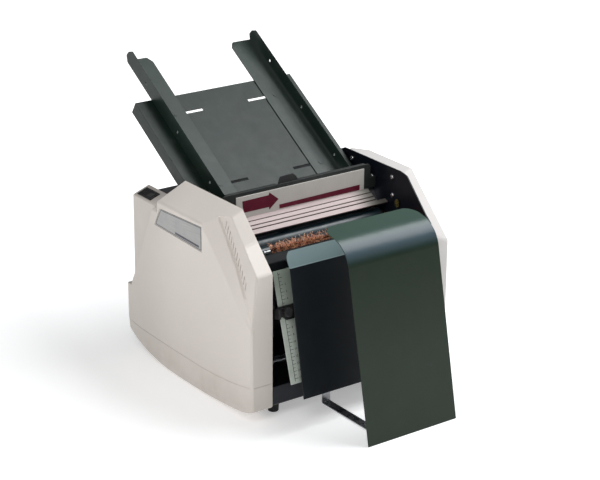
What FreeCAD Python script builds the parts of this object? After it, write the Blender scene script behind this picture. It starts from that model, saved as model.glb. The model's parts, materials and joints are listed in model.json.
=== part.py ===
"""Desktop paper folding machine, modelled as an assembly of separate pieces.

Frame: +X to the machine's right, +Y to its rear, +Z up, millimetres.  The
pieces are drawn from the machine's own datum (x on the middle of the paper
path, y and z of the left side frame) and every piece is then moved by
DatumX, DatumY, DatumZ so that the origin is the centre of the machine's
footprint, on the desk.
"""
import FreeCAD, Part
import math
import os
from FreeCAD import Vector, Placement, Rotation

doc = FreeCAD.newDocument("PaperFolder")

# ---------------------------------------------------------------- dimensions
PARAMS = [
    # alias, value, what it is
    ("DatumX", 5.4, "shift of the datum to the footprint centre"),
    ("DatumY", -158.71, "the same, front to back"),
    ("DatumZ", 7.0, "height of the datum above the desk"),
    ("FrameInner", 139.5, "half distance between the side frames"),
    ("FrameThick", 2.0, "side frame plate"),
    ("CoverOuter", 176.0, "outer face of the left cover"),
    ("RightOuter", 165.2, "outer face of the shallower right cover"),
    ("CoverWall", 2.5, "moulded cover wall"),
    ("MainRadius", 14.0, "fold rollers over the rubber"),
    ("FrontRadius", 7.94, "exit roller over the rubber"),
    ("FeedRadius", 17.0, "feed wheels"),
    ("ShaftRadius", 4.0, "all shafts"),
    ("RunFit", 0.05, "radial running clearance of a shaft"),
    ("BushRadius", 6.5, "outside of the bushes"),
    ("RollerGap", 0.3, "gap between two rollers"),
    ("RollerHalf", 130.0, "half length of the rubber covers"),
    ("MainY", 139.0, "main fold roller"), ("MainZ", 197.0, ""),
    ("GearTeeth", 28.0, "fold roller gears"),
    ("FrontTeeth", 16.0, "exit roller gear"),
    ("GearWidth", 8.0, "face width"),
    ("GearInner", 143.5, "inner face of the gears"),
    ("FeedTilt", 32.39, "feed table above the horizontal"),
    ("FeedY", 3.18, "feed plane reference"), ("FeedZ", 125.03, ""),
    ("TableHalf", 136.8, "half width of the feed table"),
    ("TableLow", 205.0, "lower end along the slope"),
    ("TableHigh", 434.7, "upper end along the slope"),
    ("TableFlange", 19.5, "side flanges, bent down"),
    ("SheetThick", 1.2, "table and guide sheet"),
    ("GuideHalf", 108.5, "half distance between the guides, letter width"),
    ("GuideHigh", 515.2, "upper end of the guides"),
    ("GuideHeight", 23.6, "guide wall"),
    ("GuideBase", 38.4, "guide base flange"),
    ("ChuteLeft", -83.5, ""), ("ChuteWidth", 152.0, "outer chute"),
    ("ChuteThick", 1.2, ""),
    ("InnerHalf", 118.5, "half width of the inner chute plate"),
    ("FoldHalf", 133.5, "half width of the front fold table"),
    ("FoldSheet", 1.0, "fold table plates"),
    ("FoldGap", 2.5, "paper channel of the fold tables"),
    ("RearHalf", 112.0, "half width of the rear fold table"),
    ("FootRadius", 8.5, "rubber feet"), ("FootHeight", 19.0, ""),
    ("MotorRadius", 24.0, ""), ("MotorLength", 62.0, ""),
]
sheet = doc.addObject("Spreadsheet::Sheet", "Params")
for i, (alias, value, note) in enumerate(PARAMS):
    row = i + 1
    sheet.set("A%d" % row, str(value))
    sheet.setAlias("A%d" % row, alias)
    if note:
        sheet.set("B%d" % row, note)
doc.recompute()


def V(alias):
    return float(getattr(sheet, alias))


DATUM = Placement(Vector(V("DatumX"), V("DatumY"), V("DatumZ")), Rotation())
KEPT = []
XAX = Rotation(Vector(0, 1, 0), 90)          # turns a Z cylinder onto +X


def keep(obj, label, frame=None):
    """Label a finished sub-part and move it from its drawing frame."""
    obj.Label = label
    base = DATUM if frame is None else DATUM.multiply(frame)
    obj.Placement = base.multiply(obj.Placement)
    KEPT.append((label, obj))
    return obj


# ------------------------------------------------------------ small builders
def box(x0, x1, y0, y1, z0, z1, name="Block", **bind):
    b = doc.addObject("Part::Box", name)
    b.Length, b.Width, b.Height = x1 - x0, y1 - y0, z1 - z0
    b.Placement.Base = Vector(x0, y0, z0)
    for prop, expr in bind.items():
        b.setExpression(prop, expr)
    return b


def rod_x(x0, x1, y, z, r, name="Rod", expr=None):
    c = doc.addObject("Part::Cylinder", name)
    c.Radius, c.Height = r, x1 - x0
    if expr:
        c.setExpression("Radius", expr)
    c.Placement = Placement(Vector(x0, y, z), XAX)
    return c


def rod_z(x, y, z0, z1, r, name="Post", expr=None):
    c = doc.addObject("Part::Cylinder", name)
    c.Radius, c.Height = r, z1 - z0
    if expr:
        c.setExpression("Radius", expr)
    c.Placement = Placement(Vector(x, y, z0), Rotation())
    return c


def rod_y(x, y0, y1, z, r, name="Stud"):
    c = doc.addObject("Part::Cylinder", name)
    c.Radius, c.Height = r, y1 - y0
    c.Placement = Placement(Vector(x, y0, z), Rotation(Vector(1, 0, 0), -90))
    return c


def fuse(items, name="Fused"):
    f = doc.addObject("Part::MultiFuse", name)
    f.Shapes = items
    return f


def cut(base, tools, name="Cutout"):
    tool = tools if not isinstance(tools, list) else (
        tools[0] if len(tools) == 1 else fuse(tools, "Tools"))
    c = doc.addObject("Part::Cut", name)
    c.Base, c.Tool = base, tool
    return c


def group(items, name="Group"):
    c = doc.addObject("Part::Compound", name)
    c.Links = items
    return c


def feature(shape, name="Shape"):
    f = doc.addObject("Part::Feature", name)
    f.Shape = shape
    return f


def rounded(points, radii=0.0):
    """Closed outline as line and arc pieces; radii rounds the corners."""
    n = len(points)
    if not isinstance(radii, (list, tuple)):
        radii = [radii] * n
    corners = []
    for i in range(n):
        p = Vector(*points[i], 0)
        a = Vector(*points[i - 1], 0) - p
        b = Vector(*points[(i + 1) % n], 0) - p
        r = radii[i]
        la, lb = a.Length, b.Length
        a.normalize()
        b.normalize()
        ang = math.acos(max(-1, min(1, a.dot(b))))
        if r <= 0 or ang > math.pi - 0.02:
            corners.append((p, p, None))
            continue
        t = r / math.tan(ang / 2)
        t = min(t, 0.49 * la, 0.49 * lb)
        r = t * math.tan(ang / 2)
        mid = (a + b)
        mid.normalize()
        c = p + mid * (r / math.sin(ang / 2))
        corners.append((p + a * t, p + b * t, (c, r, c - mid * r)))
    out = []
    for i in range(n):
        s, e, arc = corners[i]
        if arc:
            out.append(("arc", s, arc[2], e))
        nxt = corners[(i + 1) % n][0]
        if (nxt - e).Length > 1e-6:
            out.append(("line", e, nxt))
    return out


def bent_strip(points, radii, thick):
    """Outline of a bent sheet.  points is the middle line, radii the bends."""
    pts = [Vector(p[0], p[1], 0) for p in points]
    n = len(pts)
    sides = {1: [], -1: []}
    start = [None] * n
    for i in range(n):
        if i in (0, n - 1):
            d = (pts[1] - pts[0]) if i == 0 else (pts[-1] - pts[-2])
            d.normalize()
            start[i] = ("end", pts[i], Vector(-d.y, d.x, 0))
            continue
        d0 = pts[i] - pts[i - 1]
        d1 = pts[i + 1] - pts[i]
        d0.normalize()
        d1.normalize()
        turn = math.atan2(d0.x * d1.y - d0.y * d1.x, d0.dot(d1))
        r = radii[i - 1] if isinstance(radii, (list, tuple)) else radii
        t = r * math.tan(abs(turn) / 2)
        n0 = Vector(-d0.y, d0.x, 0)
        n1 = Vector(-d1.y, d1.x, 0)
        s = 1 if turn > 0 else -1
        c = pts[i] - d0 * t + n0 * (r * s)
        start[i] = ("bend", pts[i] - d0 * t, pts[i] + d1 * t, n0, n1, c, r, s)
    for side in (1, -1):
        row = []
        h = thick / 2 * side
        last = None
        for item in start:
            if item[0] == "end":
                p = item[1] + item[2] * h
                if last is not None:
                    row.append(("line", last, p))
                last = p
            else:
                _, a, b, n0, n1, c, r, s = item
                pa, pb = a + n0 * h, b + n1 * h
                nm = n0 + n1
                nm.normalize()
                rad = r - s * h
                pm = c - nm * (rad * s)
                if (pa - last).Length > 1e-6:
                    row.append(("line", last, pa))
                row.append(("arc", pa, pm, pb))
                last = pb
        sides[side] = row
    top, low = sides[1], sides[-1]
    out = list(top)
    out.append(("line", top[-1][-1], low[-1][-1]))
    for e in reversed(low):
        out.append(("line", e[2], e[1]) if e[0] == "line" else ("arc", e[3], e[2], e[1]))
    out.append(("line", low[0][1], top[0][1]))
    return out


def circle(y, z, r):
    return [("circle", Vector(y, z, 0), r)]


def add_outline(sk, outline):
    first = sk.GeometryCount
    for e in outline:
        if e[0] == "line":
            sk.addGeometry(Part.LineSegment(e[1], e[2]), False)
        elif e[0] == "arc":
            sk.addGeometry(Part.Arc(e[1], e[2], e[3]), False)
        else:
            sk.addGeometry(Part.Circle(e[1], Vector(0, 0, 1), e[2]), False)
    return first


def padded(name, plane, offset, length, outlines, expr=None):
    """A PartDesign body: one sketch on an origin plane, padded by length."""
    body = doc.addObject("PartDesign::Body", name)
    ref = [f for f in body.Origin.OriginFeatures if f.Role == plane][0]
    sk = body.newObject("Sketcher::SketchObject", name + "Sketch")
    sk.AttachmentSupport = [(ref, "")]
    sk.MapMode = "FlatFace"
    sk.AttachmentOffset = Placement(Vector(0, 0, offset), Rotation())
    for o in outlines:
        add_outline(sk, o)
    pad = body.newObject("PartDesign::Pad", name + "Pad")
    pad.Profile = sk
    pad.Length = length
    if expr:
        pad.setExpression("Length", expr)
    sk.Visibility = False
    return body


def plate_x(name, x0, x1, outlines, expr=None):
    """Padded along +X; outlines are (y, z)."""
    return padded(name, "YZ_Plane", x0, x1 - x0, outlines, expr)


def plate_z(name, z0, z1, outlines, expr=None):
    """Padded along +Z; outlines are (x, y)."""
    return padded(name, "XY_Plane", z0, z1 - z0, outlines, expr)


def solid_prism(points, x0, x1):
    """A plain prism along X from (y, z) points, for cutting."""
    vs = [Vector(x0, y, z) for y, z in points]
    wire = Part.makePolygon(vs + [vs[0]])
    return Part.Face(wire).extrude(Vector(x1 - x0, 0, 0))


def gear_outline(yc, zc, teeth, module, phase_deg):
    """Straight-flanked spur gear, thin enough to run with backlash."""
    rp = module * teeth / 2
    ra, rf = rp + 0.8 * module, rp - 1.15 * module
    pitch = 2 * math.pi / teeth
    w_f, w_p, w_a = 0.60 * pitch, 0.44 * pitch, 0.24 * pitch
    pts = []
    for k in range(int(teeth)):
        a = math.radians(phase_deg) + k * pitch
        for r, da in ((rf, -w_f / 2), (rp, -w_p / 2), (ra, -w_a / 2),
                      (ra, w_a / 2), (rp, w_p / 2), (rf, w_f / 2)):
            pts.append((yc + r * math.cos(a + da), zc + r * math.sin(a + da)))
    return rounded(pts, 0.0)


# ------------------------------------------------------- roller positions
MY, MZ = V("MainY"), V("MainZ")
R, RF, GAP = V("MainRadius"), V("FrontRadius"), V("RollerGap")
MODULE = (2 * R + GAP) / V("GearTeeth")


def around(angle, dist):
    a = math.radians(angle)
    return MY + dist * math.cos(a), MZ + dist * math.sin(a)


REAR_ANGLE, LOWER_ANGLE, FRONT_ANGLE = 12.0, -95.0, 182.6
REAR = around(REAR_ANGLE, 2 * R + GAP)
LOWER = around(LOWER_ANGLE, 2 * R + GAP)
FRONT_DIST = MODULE * (V("GearTeeth") + V("FrontTeeth")) / 2
FRONT = around(FRONT_ANGLE, FRONT_DIST)
FT = math.radians(V("FeedTilt"))
UP = (math.cos(FT), math.sin(FT))             # along the feed slope (y, z)
NO = (-math.sin(FT), math.cos(FT))            # away from the table (y, z)


def on_feed(v, w):
    return (V("FeedY") + v * UP[0] + w * NO[0], V("FeedZ") + v * UP[1] + w * NO[1])


FEED = on_feed(220.0, 1.0 - V("FeedRadius"))
FEEDFRAME = Placement(Vector(0, V("FeedY"), V("FeedZ")),
                      Rotation(Vector(1, 0, 0), V("FeedTilt")))
MOTOR = (262.0, 78.0)
FI, FTK = V("FrameInner"), V("FrameThick")
FO = FI + FTK
BUSHES = [(MY, MZ), REAR, LOWER, FRONT, FEED]

# ------------------------------------------------------------- side frames
SCREWS = [(215.4, 263.9), (166.9, 249.4), (120.5, 261.0), (118.3, 234.2)]
LOWSCREWS = [(60.0, 60.0), (300.0, 60.0), (300.0, 205.0)]
FRAME = [(31, 9.5), (31, 216), (44, 227), (87, 271.6), (103, 274.7),
         (234, 275.6), (246, 270), (256, 236), (326, 232), (326, 9.5)]


def side_frame(name, x0, extra):
    outs = [rounded(FRAME, [4, 6, 6, 8, 8, 6, 10, 12, 6, 4])]
    for y, z in BUSHES:
        outs.append(circle(y, z, V("BushRadius")))
    for y, z in SCREWS + LOWSCREWS:
        outs.append(circle(y, z, 2.0))
    outs += extra
    return plate_x(name, x0, x0 + FTK, outs, "Params.FrameThick")


# a round hole on the left lets the motor's boss through
keep(side_frame("LeftSideFrame", -FO, [circle(MOTOR[0], MOTOR[1], 12.0)]),
     "left_side_frame")
keep(side_frame("RightSideFrame", FI, []), "right_side_frame")

# rods that tie the two frames together, with a shoulder at each end
rods = []
for y, z in LOWSCREWS:
    rods.append(rod_x(-FI, FI, y, z, 5.0, "TieRod"))
keep(group(rods, "TieRods"), "tie_rods")

# bushes: a plain bearing in every frame hole
bush = []
for y, z in BUSHES:
    for x0, x1 in ((-FO - 1.2, -FI + 2.0), (FI - 2.0, FO + 1.2)):
        outer = rod_x(x0, x1, y, z, V("BushRadius"), "BushBody", "Params.BushRadius")
        fl = (x1 - 1.4, x1) if x0 < 0 else (x0, x0 + 1.4)
        flange = rod_x(fl[0], fl[1], y, z, 8.2, "BushFlange")
        bore = rod_x(x0 - 1, x1 + 1, y, z, V("ShaftRadius") + V("RunFit"), "Bore",
                     "Params.ShaftRadius + Params.RunFit")
        bush.append(cut(fuse([outer, flange]), bore, "Bush"))
keep(group(bush, "RollerBushes"), "roller_bushes")

# --------------------------------------------------------------- base pan
pan = plate_x("BasePan", -FI, FI, [bent_strip(
    [(24.0, 40.0), (24.0, 12.0), (327.0, 12.0), (327.0, 40.0)], 3.0, 1.5)])
keep(pan, "base_pan")
feet = []
for x, y in ((-122.0, 45.0), (122.0, 45.0), (-122.0, 300.0), (122.0, 300.0)):
    c = doc.addObject("Part::Cone", "Foot")
    c.Radius1, c.Radius2, c.Height = 7.5, V("FootRadius"), 18.25
    c.setExpression("Radius2", "Params.FootRadius")
    c.Placement.Base = Vector(x, y, -7.0)
    feet.append(c)
keep(group(feet, "RubberFeet"), "rubber_feet")

# -------------------------------------------------------------- rear panel
rear = plate_x("RearPanel", -FI, FI, [bent_strip(
    [(327.0, 41.0), (327.0, 236.5), (226.0, 236.5), (226.0, 228.0)], 3.0, 1.5)])
louvres = []
for i in range(5):
    for x in (-95.0, -20.0):
        louvres.append(box(x, x + 50, 320, 334, 150 + 12 * i, 154 + 12 * i, "Louvre"))
inlet_hole = box(76.0, 104.0, 320, 334, 52.0, 72.0, "InletHole")
rear_cut = cut(rear, louvres + [inlet_hole], "RearPanelCut")
keep(rear_cut, "rear_panel")

# mains inlet in the rear panel: a shell with a socket and three pins
shell = box(72.0, 108.0, 327.75, 330.0, 47.0, 77.0, "InletFlange")
tube = box(76.4, 103.6, 309.0, 327.75, 52.4, 71.6, "InletBody")
hollow = box(78.4, 101.6, 312.0, 331.0, 54.4, 69.6, "InletSocket")
pins = [box(x - 1.0, x + 1.0, 311.0, 326.0, 60.0, 64.0, "InletPin") for x in (83.0, 97.0)]
pins.append(box(89.0, 91.0, 311.0, 327.0, 63.0, 67.0, "InletPin"))
keep(fuse([cut(fuse([shell, tube]), hollow)] + pins, "PowerInlet"), "power_inlet")

# ------------------------------------------------------------- side covers
CO, CW = V("CoverOuter"), V("CoverWall")


def slab(p, n, size=900.0):
    """Half space beyond the plane through p with outward normal n."""
    n = Vector(n)
    n.normalize()
    b = Part.makeBox(size, size, size, Vector(-size / 2, -size / 2, 0))
    b.Placement = Placement(Vector(*p), Rotation(Vector(0, 0, 1), n))
    return b


# Columns of points down the front of the hood, from the top surface to the
# front face.  Their surface is folded along the columns.
HOOD = [
    [(-176.0, 142.0, 250.0), (-176.0, 79.5, 188.0), (-176.0, 38.0, 146.8), (-176.0, 17.0, 126.0)],
    [(-160.5, 122.9, 263.4), (-169.6, 68.8, 211.6), (-174.2, 38.5, 170.5), (-175.9, 17.0, 128.5)],
    [(-157.6, 119.5, 262.6), (-165.8, 66.4, 208.0), (-171.6, 36.0, 172.0), (-174.9, 16.5, 131.0)],
    [(-154.5, 97.5, 268.4), (-160.6, 58.0, 238.0), (-167.0, 18.4, 208.0), (-167.0, 12.4, 202.0)],
    [(-141.5, 87.0, 277.0), (-141.5, 54.0, 244.0), (-141.5, 18.4, 208.4), (-141.5, 12.4, 202.4)],
]


def hood_front(inset):
    """What lies outside the folded front of the hood, as a solid to cut."""
    cols = []
    for col in HOOD:
        pts = [Vector(*q) for q in col]
        up = pts[0] - pts[1]
        up.normalize()
        dn = pts[3] - pts[2]
        dn.normalize()
        cols.append([pts[0] + up * 60] + pts + [pts[3] + dn * 40])
    cols.insert(0, [q + Vector(-30, 0, 0) for q in cols[0]])
    cols.append([q + Vector(30, 0, 0) for q in cols[-1]])
    shift = Vector(1.0, 0.72, -0.72) * inset
    grid = [[q + shift for q in col] for col in cols]
    away = Vector(0, -150, 150)
    far = [[q + away for q in col] for col in grid]
    faces = []

    def tri(a, b, c):
        if (b - a).cross(c - a).Length > 1e-6:
            faces.append(Part.Face(Part.makePolygon([a, b, c, a])))

    def quad(a, b, c, d):
        tri(a, b, c)
        tri(a, c, d)
    n, m = len(grid), len(grid[0])
    for u in range(n - 1):
        for v in range(m - 1):
            quad(grid[u][v], grid[u + 1][v], grid[u + 1][v + 1], grid[u][v + 1])
            quad(far[u][v], far[u][v + 1], far[u + 1][v + 1], far[u + 1][v])
    for u in range(n - 1):
        quad(grid[u][0], far[u][0], far[u + 1][0], grid[u + 1][0])
        quad(grid[u][m - 1], grid[u + 1][m - 1], far[u + 1][m - 1], far[u][m - 1])
    for v in range(m - 1):
        quad(grid[0][v], grid[0][v + 1], far[0][v + 1], far[0][v])
        quad(grid[n - 1][v], far[n - 1][v], far[n - 1][v + 1], grid[n - 1][v + 1])
    shell = Part.makeShell(faces)
    solid = Part.makeSolid(shell)
    if solid.Volume < 0:
        solid.reverse()
    return solid


def cover_solid(inset, open_side):
    """Left cover from its outside faces moved in by inset."""
    i = inset
    x_out = -CO + i
    x_in = -FO + (0.5 if open_side else 0.0)
    lower = [(18.6, 13.0), (36.0, 6.2), (65.0, 1.8), (108.0, -1.6), (148.0, -3.4),
             (214.0, -3.6), (254.0, -1.0), (295.0, 7.0), (323.0, 18.0), (338.0, 27.0)]
    low = [Vector(x_out, y + (i if y < 30 else (-i if y > 330 else 0)), z + i)
           for y, z in lower]
    curve = Part.BSplineCurve()
    curve.interpolate(low)
    start, end = low[0], low[-1]
    ring = [end, Vector(x_out, 341.0 - i, 48.0), Vector(x_out, 338.5 - i, 300.0),
            Vector(x_out, 18.6 + i, 300.0), start]
    edges = [curve.toShape()] + [Part.LineSegment(ring[k], ring[k + 1]).toShape()
                                 for k in range(4)]
    s = Part.Face(Part.Wire(edges)).extrude(Vector(x_in - x_out, 0, 0))
    # top of the hood: low outside, high inside
    top_n = Vector(-29.5, 0, 34.5)
    top_n.normalize()
    p = Vector(-CO, 200, 250) - top_n * i
    s = s.cut(slab(p, top_n))
    s = s.cut(slab((0, 0, 279.5 - i), (0, 0, 1)))
    # folded front of the hood: facet, step, vent ramp and top slope
    s = s.cut(hood_front(i))
    # behind the hood the top drops to a lower block
    wall = Part.Face(Part.makePolygon([Vector(-CO - 5, 256.5 - i, 0), Vector(-FO + 5, 231.0 - i, 0),
                                       Vector(-FO + 5, 400, 0), Vector(-CO - 5, 400, 0),
                                       Vector(-CO - 5, 256.5 - i, 0)])).extrude(Vector(0, 0, 400))
    q = Vector(-FO, 300, 245.5)
    rn = Vector(-0.36, 0, 1)
    rn.normalize()
    s = s.cut(wall.common(slab(q - rn * i, rn)))
    # the upper rear is set in from the side and from the back
    inset_side = Part.Face(Part.makePolygon([
        Vector(-CO - 5, 256, 262), Vector(-CO - 5, 300, 160), Vector(-CO - 5, 330, 97 - i),
        Vector(-CO - 5, 400, 97 - i), Vector(-CO - 5, 400, 262), Vector(-CO - 5, 256, 262)])
    ).extrude(Vector(8 + i, 0, 0))
    s = s.cut(inset_side)
    back = Part.makeBox(200, 60, 300, Vector(-CO - 10, 332.5 - i, 98.5 - i))
    s = s.cut(back)
    return s


def left_cover():
    outer = cover_solid(0.0, False)
    inner = cover_solid(CW, True)
    s = outer.cut(inner)
    # short upright slots through the vent ramp, just above its lower crease
    crease = [(119.5, 262.2, -157.6), (66.4, 208.0, -165.8), (36.0, 172.0, -171.6),
              (18.6, 136.6, -174.3)]
    slots = None
    for k in range(12):
        y = 42.0 + 5.6 * k
        for (ya, za, xa), (yb, zb, xb) in zip(crease, crease[1:]):
            if yb <= y <= ya:
                t = (y - yb) / (ya - yb)
                z, x = zb + (za - zb) * t, xb + (xa - xb) * t
        ring = [Vector(x - 4.0, y, z + 3.5), Vector(x - 4.0, y + 1.5, z + 4.9),
                Vector(x - 4.0, y + 1.5, z + 15.9), Vector(x - 4.0, y, z + 14.5)]
        slot = Part.Face(Part.makePolygon(ring + ring[:1])).extrude(Vector(18.0, 0, 0))
        slots = slot if slots is None else slots.fuse(slot)
    s = s.cut(slots)
    # fine seam groove low on the side and round the front edge
    line = [(17.0, 49.0), (64.0, 41.0), (108.0, 36.5), (147.0, 35.0), (214.0, 35.0), (300.0, 36.5),
            (336.0, 40.0)]
    ring = ([Vector(-CO - 1.0, y, z) for y, z in line]
            + [Vector(-CO - 1.0, y, z + 0.8) for y, z in line[::-1]])
    s = s.cut(Part.Face(Part.makePolygon(ring + ring[:1])).extrude(Vector(1.5, 0, 0)))
    s = s.cut(Part.makeBox(40.0, 1.2, 0.8, Vector(-CO - 1.0, 17.9, 48.8)))
    # shallow recess for the nameplate
    plate = Part.Face(Part.makePolygon([Vector(-CO - 1, y, z) for y, z in
                      ((245.5, 241.0), (138.7, 246.0), (138.2, 209.0), (260.5, 212.5), (245.5, 241.0))]
                      )).extrude(Vector(2.0, 0, 0))
    s = s.cut(plate)
    s = s.cut(Part.makeBox(15.6, 32.4, 60, Vector(-163.9, 290.9, 215)))
    return bosses(s, outer, -1, CO)


def bosses(s, outer, sign, reach):
    """Posts that carry a cover on its side frame, with screw holes."""
    for y, z in SCREWS + LOWSCREWS:
        post = Part.makeCylinder(5.0, reach - FO, Vector(sign * FO, y, z), Vector(sign, 0, 0))
        s = s.fuse(post.common(outer))
    for y, z in SCREWS + LOWSCREWS:
        hole = Part.makeCylinder(2.0, 12.0, Vector(sign * FO, y, z), Vector(sign, 0, 0))
        s = s.cut(hole)
    return s


LOWER_EDGE = [(20.0, 13.0), (36.0, 6.2), (65.0, 1.8), (108.0, -1.6), (148.0, -3.4),
              (214.0, -3.6), (254.0, -1.0), (295.0, 7.0), (323.0, 18.0), (338.0, 27.0)]


def right_solid(i, open_side):
    """Right cover from its outside faces moved in by i."""
    x0 = FO - (0.5 if open_side else 0.0)
    x1 = V("RightOuter") - i
    low = [Vector(x0, y + (i if y < 30 else (-i if y > 330 else 0)), z + i)
           for y, z in LOWER_EDGE]
    curve = Part.BSplineCurve()
    curve.interpolate(low)
    ring = [low[-1], Vector(x0, 341.0 - i, 48.0), Vector(x0, 341.0 - i, 98.5 - i),
            Vector(x0, 332.5 - i, 98.5 - i), Vector(x0, 331.0 - i, 238.0 - i),
            Vector(x0, 262.0 - i, 245.0 - i), Vector(x0, 247.0 - i, 267.0 - i),
            Vector(x0, 205.0, 275.0 - i), Vector(x0, 94.8 + 0.4 * i, 274.0 - i),
            Vector(x0, 20.0 + i, 200.6 - 0.4 * i), low[0]]
    edges = [curve.toShape()] + [Part.LineSegment(ring[k], ring[k + 1]).toShape()
                                 for k in range(len(ring) - 1)]
    s = Part.Face(Part.Wire(edges)).extrude(Vector(x1 - x0, 0, 0))
    # the front slope leans outwards a little as well
    a, b, c = Vector(FO, 93.3, 272.6), Vector(FO, 45.3, 225.5), Vector(165.2, 59.7, 227.8)
    n = (b - a).cross(c - a)
    n.normalize()
    if n.z < 0:
        n = n * -1
    s = s.cut(slab(a - n * i, n))
    # eased outer edges along the top and the front slope
    e = Vector(1, 0, 1)
    e.normalize()
    s = s.cut(slab(Vector(V("RightOuter"), 150, 273.0) - e * i, e))
    e = Vector(1, -0.25, 0)
    e.normalize()
    s = s.cut(slab(Vector(V("RightOuter") - 1.2, 20.0, 150) - e * i, e))
    return s


def right_cover():
    outer = right_solid(0.0, False)
    return bosses(outer.cut(right_solid(CW, True)), outer, 1, V("RightOuter"))


keep(feature(left_cover(), "LeftCover"), "left_cover")
keep(feature(right_cover(), "RightCover"), "right_cover")

# blank nameplate, let into the left cover
name_pts = [(244.5, 240.0), (139.7, 245.0), (139.2, 210.0), (259.2, 213.5)]
keep(plate_x("Nameplate", -CO + 0.2, -CO + 1.0, [rounded(name_pts, 2.0)]), "nameplate")

# rocker switch on the lower block of the left cover
SW_TILT = math.degrees(math.atan2(0.36, 1.0))
SWFRAME = Placement(Vector(-156.1, 307.1, 245.5 - 0.36 * (156.1 - FO)),
                    Rotation(Vector(0, 1, 0), -SW_TILT))
bez = cut(fuse([box(-8.9, 8.9, -17.6, 17.6, 0.0, 1.4, "BezelRim"),
                box(-7.0, 7.0, -15.4, 15.4, -16.0, 0.0, "BezelBody")]),
          [box(-5.6, 5.6, -13.6, 13.6, -14.0, 3.0, "BezelHole")])
keep(bez, "switch_housing", SWFRAME)
rock = plate_x("RockerSwitch", -5.3, 5.3, [rounded(
    [(-13.0, 1.6), (0.0, 0.3), (13.0, 3.6), (12.6, -2.0), (4.0, -7.0), (-4.0, -7.0), (-12.6, -3.2)],
    [1.0, 6.0, 1.0, 1.0, 1.0, 1.0, 1.0])])
keep(rock, "rocker_switch", SWFRAME)

# -------------------------------------------------------------- feed table
TH, TK, TL, TU = V("TableHalf"), V("SheetThick"), V("TableLow"), V("TableHigh")
WHEELS = (-66.0, -16.5, 33.0)
deck = box(-TH, TH, TL, TU, -0.9 - TK, -0.9, "Deck", Height="Params.SheetThick")
flL = box(-TH, -TH + TK, TL, TU, -0.9 - V("TableFlange"), -0.9, "FlangeLeft",
          Height="Params.TableFlange")
flR = box(TH - TK, TH, TL, TU, -0.9 - V("TableFlange"), -0.9, "FlangeRight",
          Height="Params.TableFlange")
ears = [box(s * (TH + FI) / 2 - (FI - TH) / 2, s * (TH + FI) / 2 + (FI - TH) / 2,
            232.0, 262.0, -17.0, -6.0, "Ear") for s in (-1, 1)]
cuts = [box(x - 11.5, x + 11.5, TL - 5, 231.5, -30, 5, "WheelSlot") for x in WHEELS]
for s in (-1, 1):
    for v in (262.0, 400.0):
        lo, hi = sorted((s * 106.0, s * 40.0))
        cuts.append(box(lo, hi, v - 2.2, v + 2.2, -30, 5, "GuideSlot"))
cuts.append(rod_x(-FI, FI, 220.0, 1.0 - V("FeedRadius"), 5.2, "ShaftHole"))
keep(cut(fuse([deck, flL, flR] + ears), cuts, "FeedTable"), "feed_table", FEEDFRAME)

# --------------------------------------------------------- paper guides
GH, GU, GW, GB = V("GuideHalf"), V("GuideHigh"), V("GuideHeight"), V("GuideBase")


def guide(name, s):
    # wall, standing on the table; the top end is cut back and rounded
    wall = [(216.0, -0.6), (GU - 3.0, -0.6), (GU + 4.5, 7.0), (GU + 2.5, GW - 8.0),
            (GU - 5.0, GW), (222.0, GW), (216.0, GW - 8.0)]
    lo, hi = sorted((s * GH, s * (GH + TK)))
    w = plate_x(name + "Wall", lo, hi, [rounded(wall, [0, 2, 4, 5, 6, 4, 4]),
                                        circle(457.3, 10.6, 2.3), circle(359.6, 10.6, 2.3),
                                        circle(261.9, 10.6, 2.3)], "Params.SheetThick")
    a, b = s * (GH + 0.3), s * (GH - GB)
    base = plate_z(name + "Base", -0.6, 0.6, [rounded(
        [(a, 234.0), (b, 240.0), (b, GU - 11.5), (b + s * 6.0, GU - 1.5), (a, GU - 1.5)],
        [0, 4, 8, 4, 0])], "Params.SheetThick")
    studs = []
    for v in (262.0, 400.0):
        studs.append(rod_z(s * 88.0, v, -10.0, 0.0, 1.8, "GuideStud"))
        studs.append(rod_z(s * 88.0, v, 0.6, 1.1, 4.0, "GuideStudHead"))
    return fuse([w, base] + studs, name)


keep(guide("LeftGuide", -1), "left_paper_guide", FEEDFRAME)
keep(guide("RightGuide", 1), "right_paper_guide", FEEDFRAME)


def thumb_nuts(name, s):
    nuts = []
    for v in (262.0, 400.0):
        knob = padded(name + "Nut", "XY_Plane", -9.6, 7.2, [
            rounded([(s * 88.0 + (8.0 if k % 2 else 6.9) * math.cos(k * math.pi / 12),
                      v + (8.0 if k % 2 else 6.9) * math.sin(k * math.pi / 12))
                     for k in range(24)], 0.0),
            circle(s * 88.0, v, 1.85)])
        nuts.append(knob)
    return group(nuts, name)


keep(thumb_nuts("LeftGuideNuts", -1), "left_guide_nuts", FEEDFRAME)
keep(thumb_nuts("RightGuideNuts", 1), "right_guide_nuts", FEEDFRAME)

# ------------------------------------------- separator bar, plate and pad
bar = cut(box(-129.5, 129.5, 158.0, 159.5, 236.0, 273.5, "BarWeb"),
          [cut(box(s * 125.0 - 6, s * 125.0 + 6, 150, 170, 267.3, 280.0, "CornerBlock"),
               rod_y(s * 123.5, 140, 180, 267.5, 6.0, "CornerRound")) for s in (-1, 1)])
hem = box(-121.0, 121.0, 158.0, 164.5, 272.0, 273.5, "BarHem")
tabs = [box(lo, hi, 158.0, 159.5, 236.0, 252.0, "BarTab")
        for lo, hi in ((-FI, -128.0), (128.0, FI))]
slot_bar = [box(-23.0, -20.0, 150, 161, 261.5, 269.5, "AdjustSlot"),
            box(-12.0, -9.0, 150, 161, 261.5, 269.5, "AdjustSlot")]
hem_gap = box(-35.5, 3.0, 159.55, 170, 270.0, 280.0, "HemGap")
keep(cut(fuse([bar, hem] + tabs), slot_bar + [hem_gap], "SeparatorBar"), "separator_bar")

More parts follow.
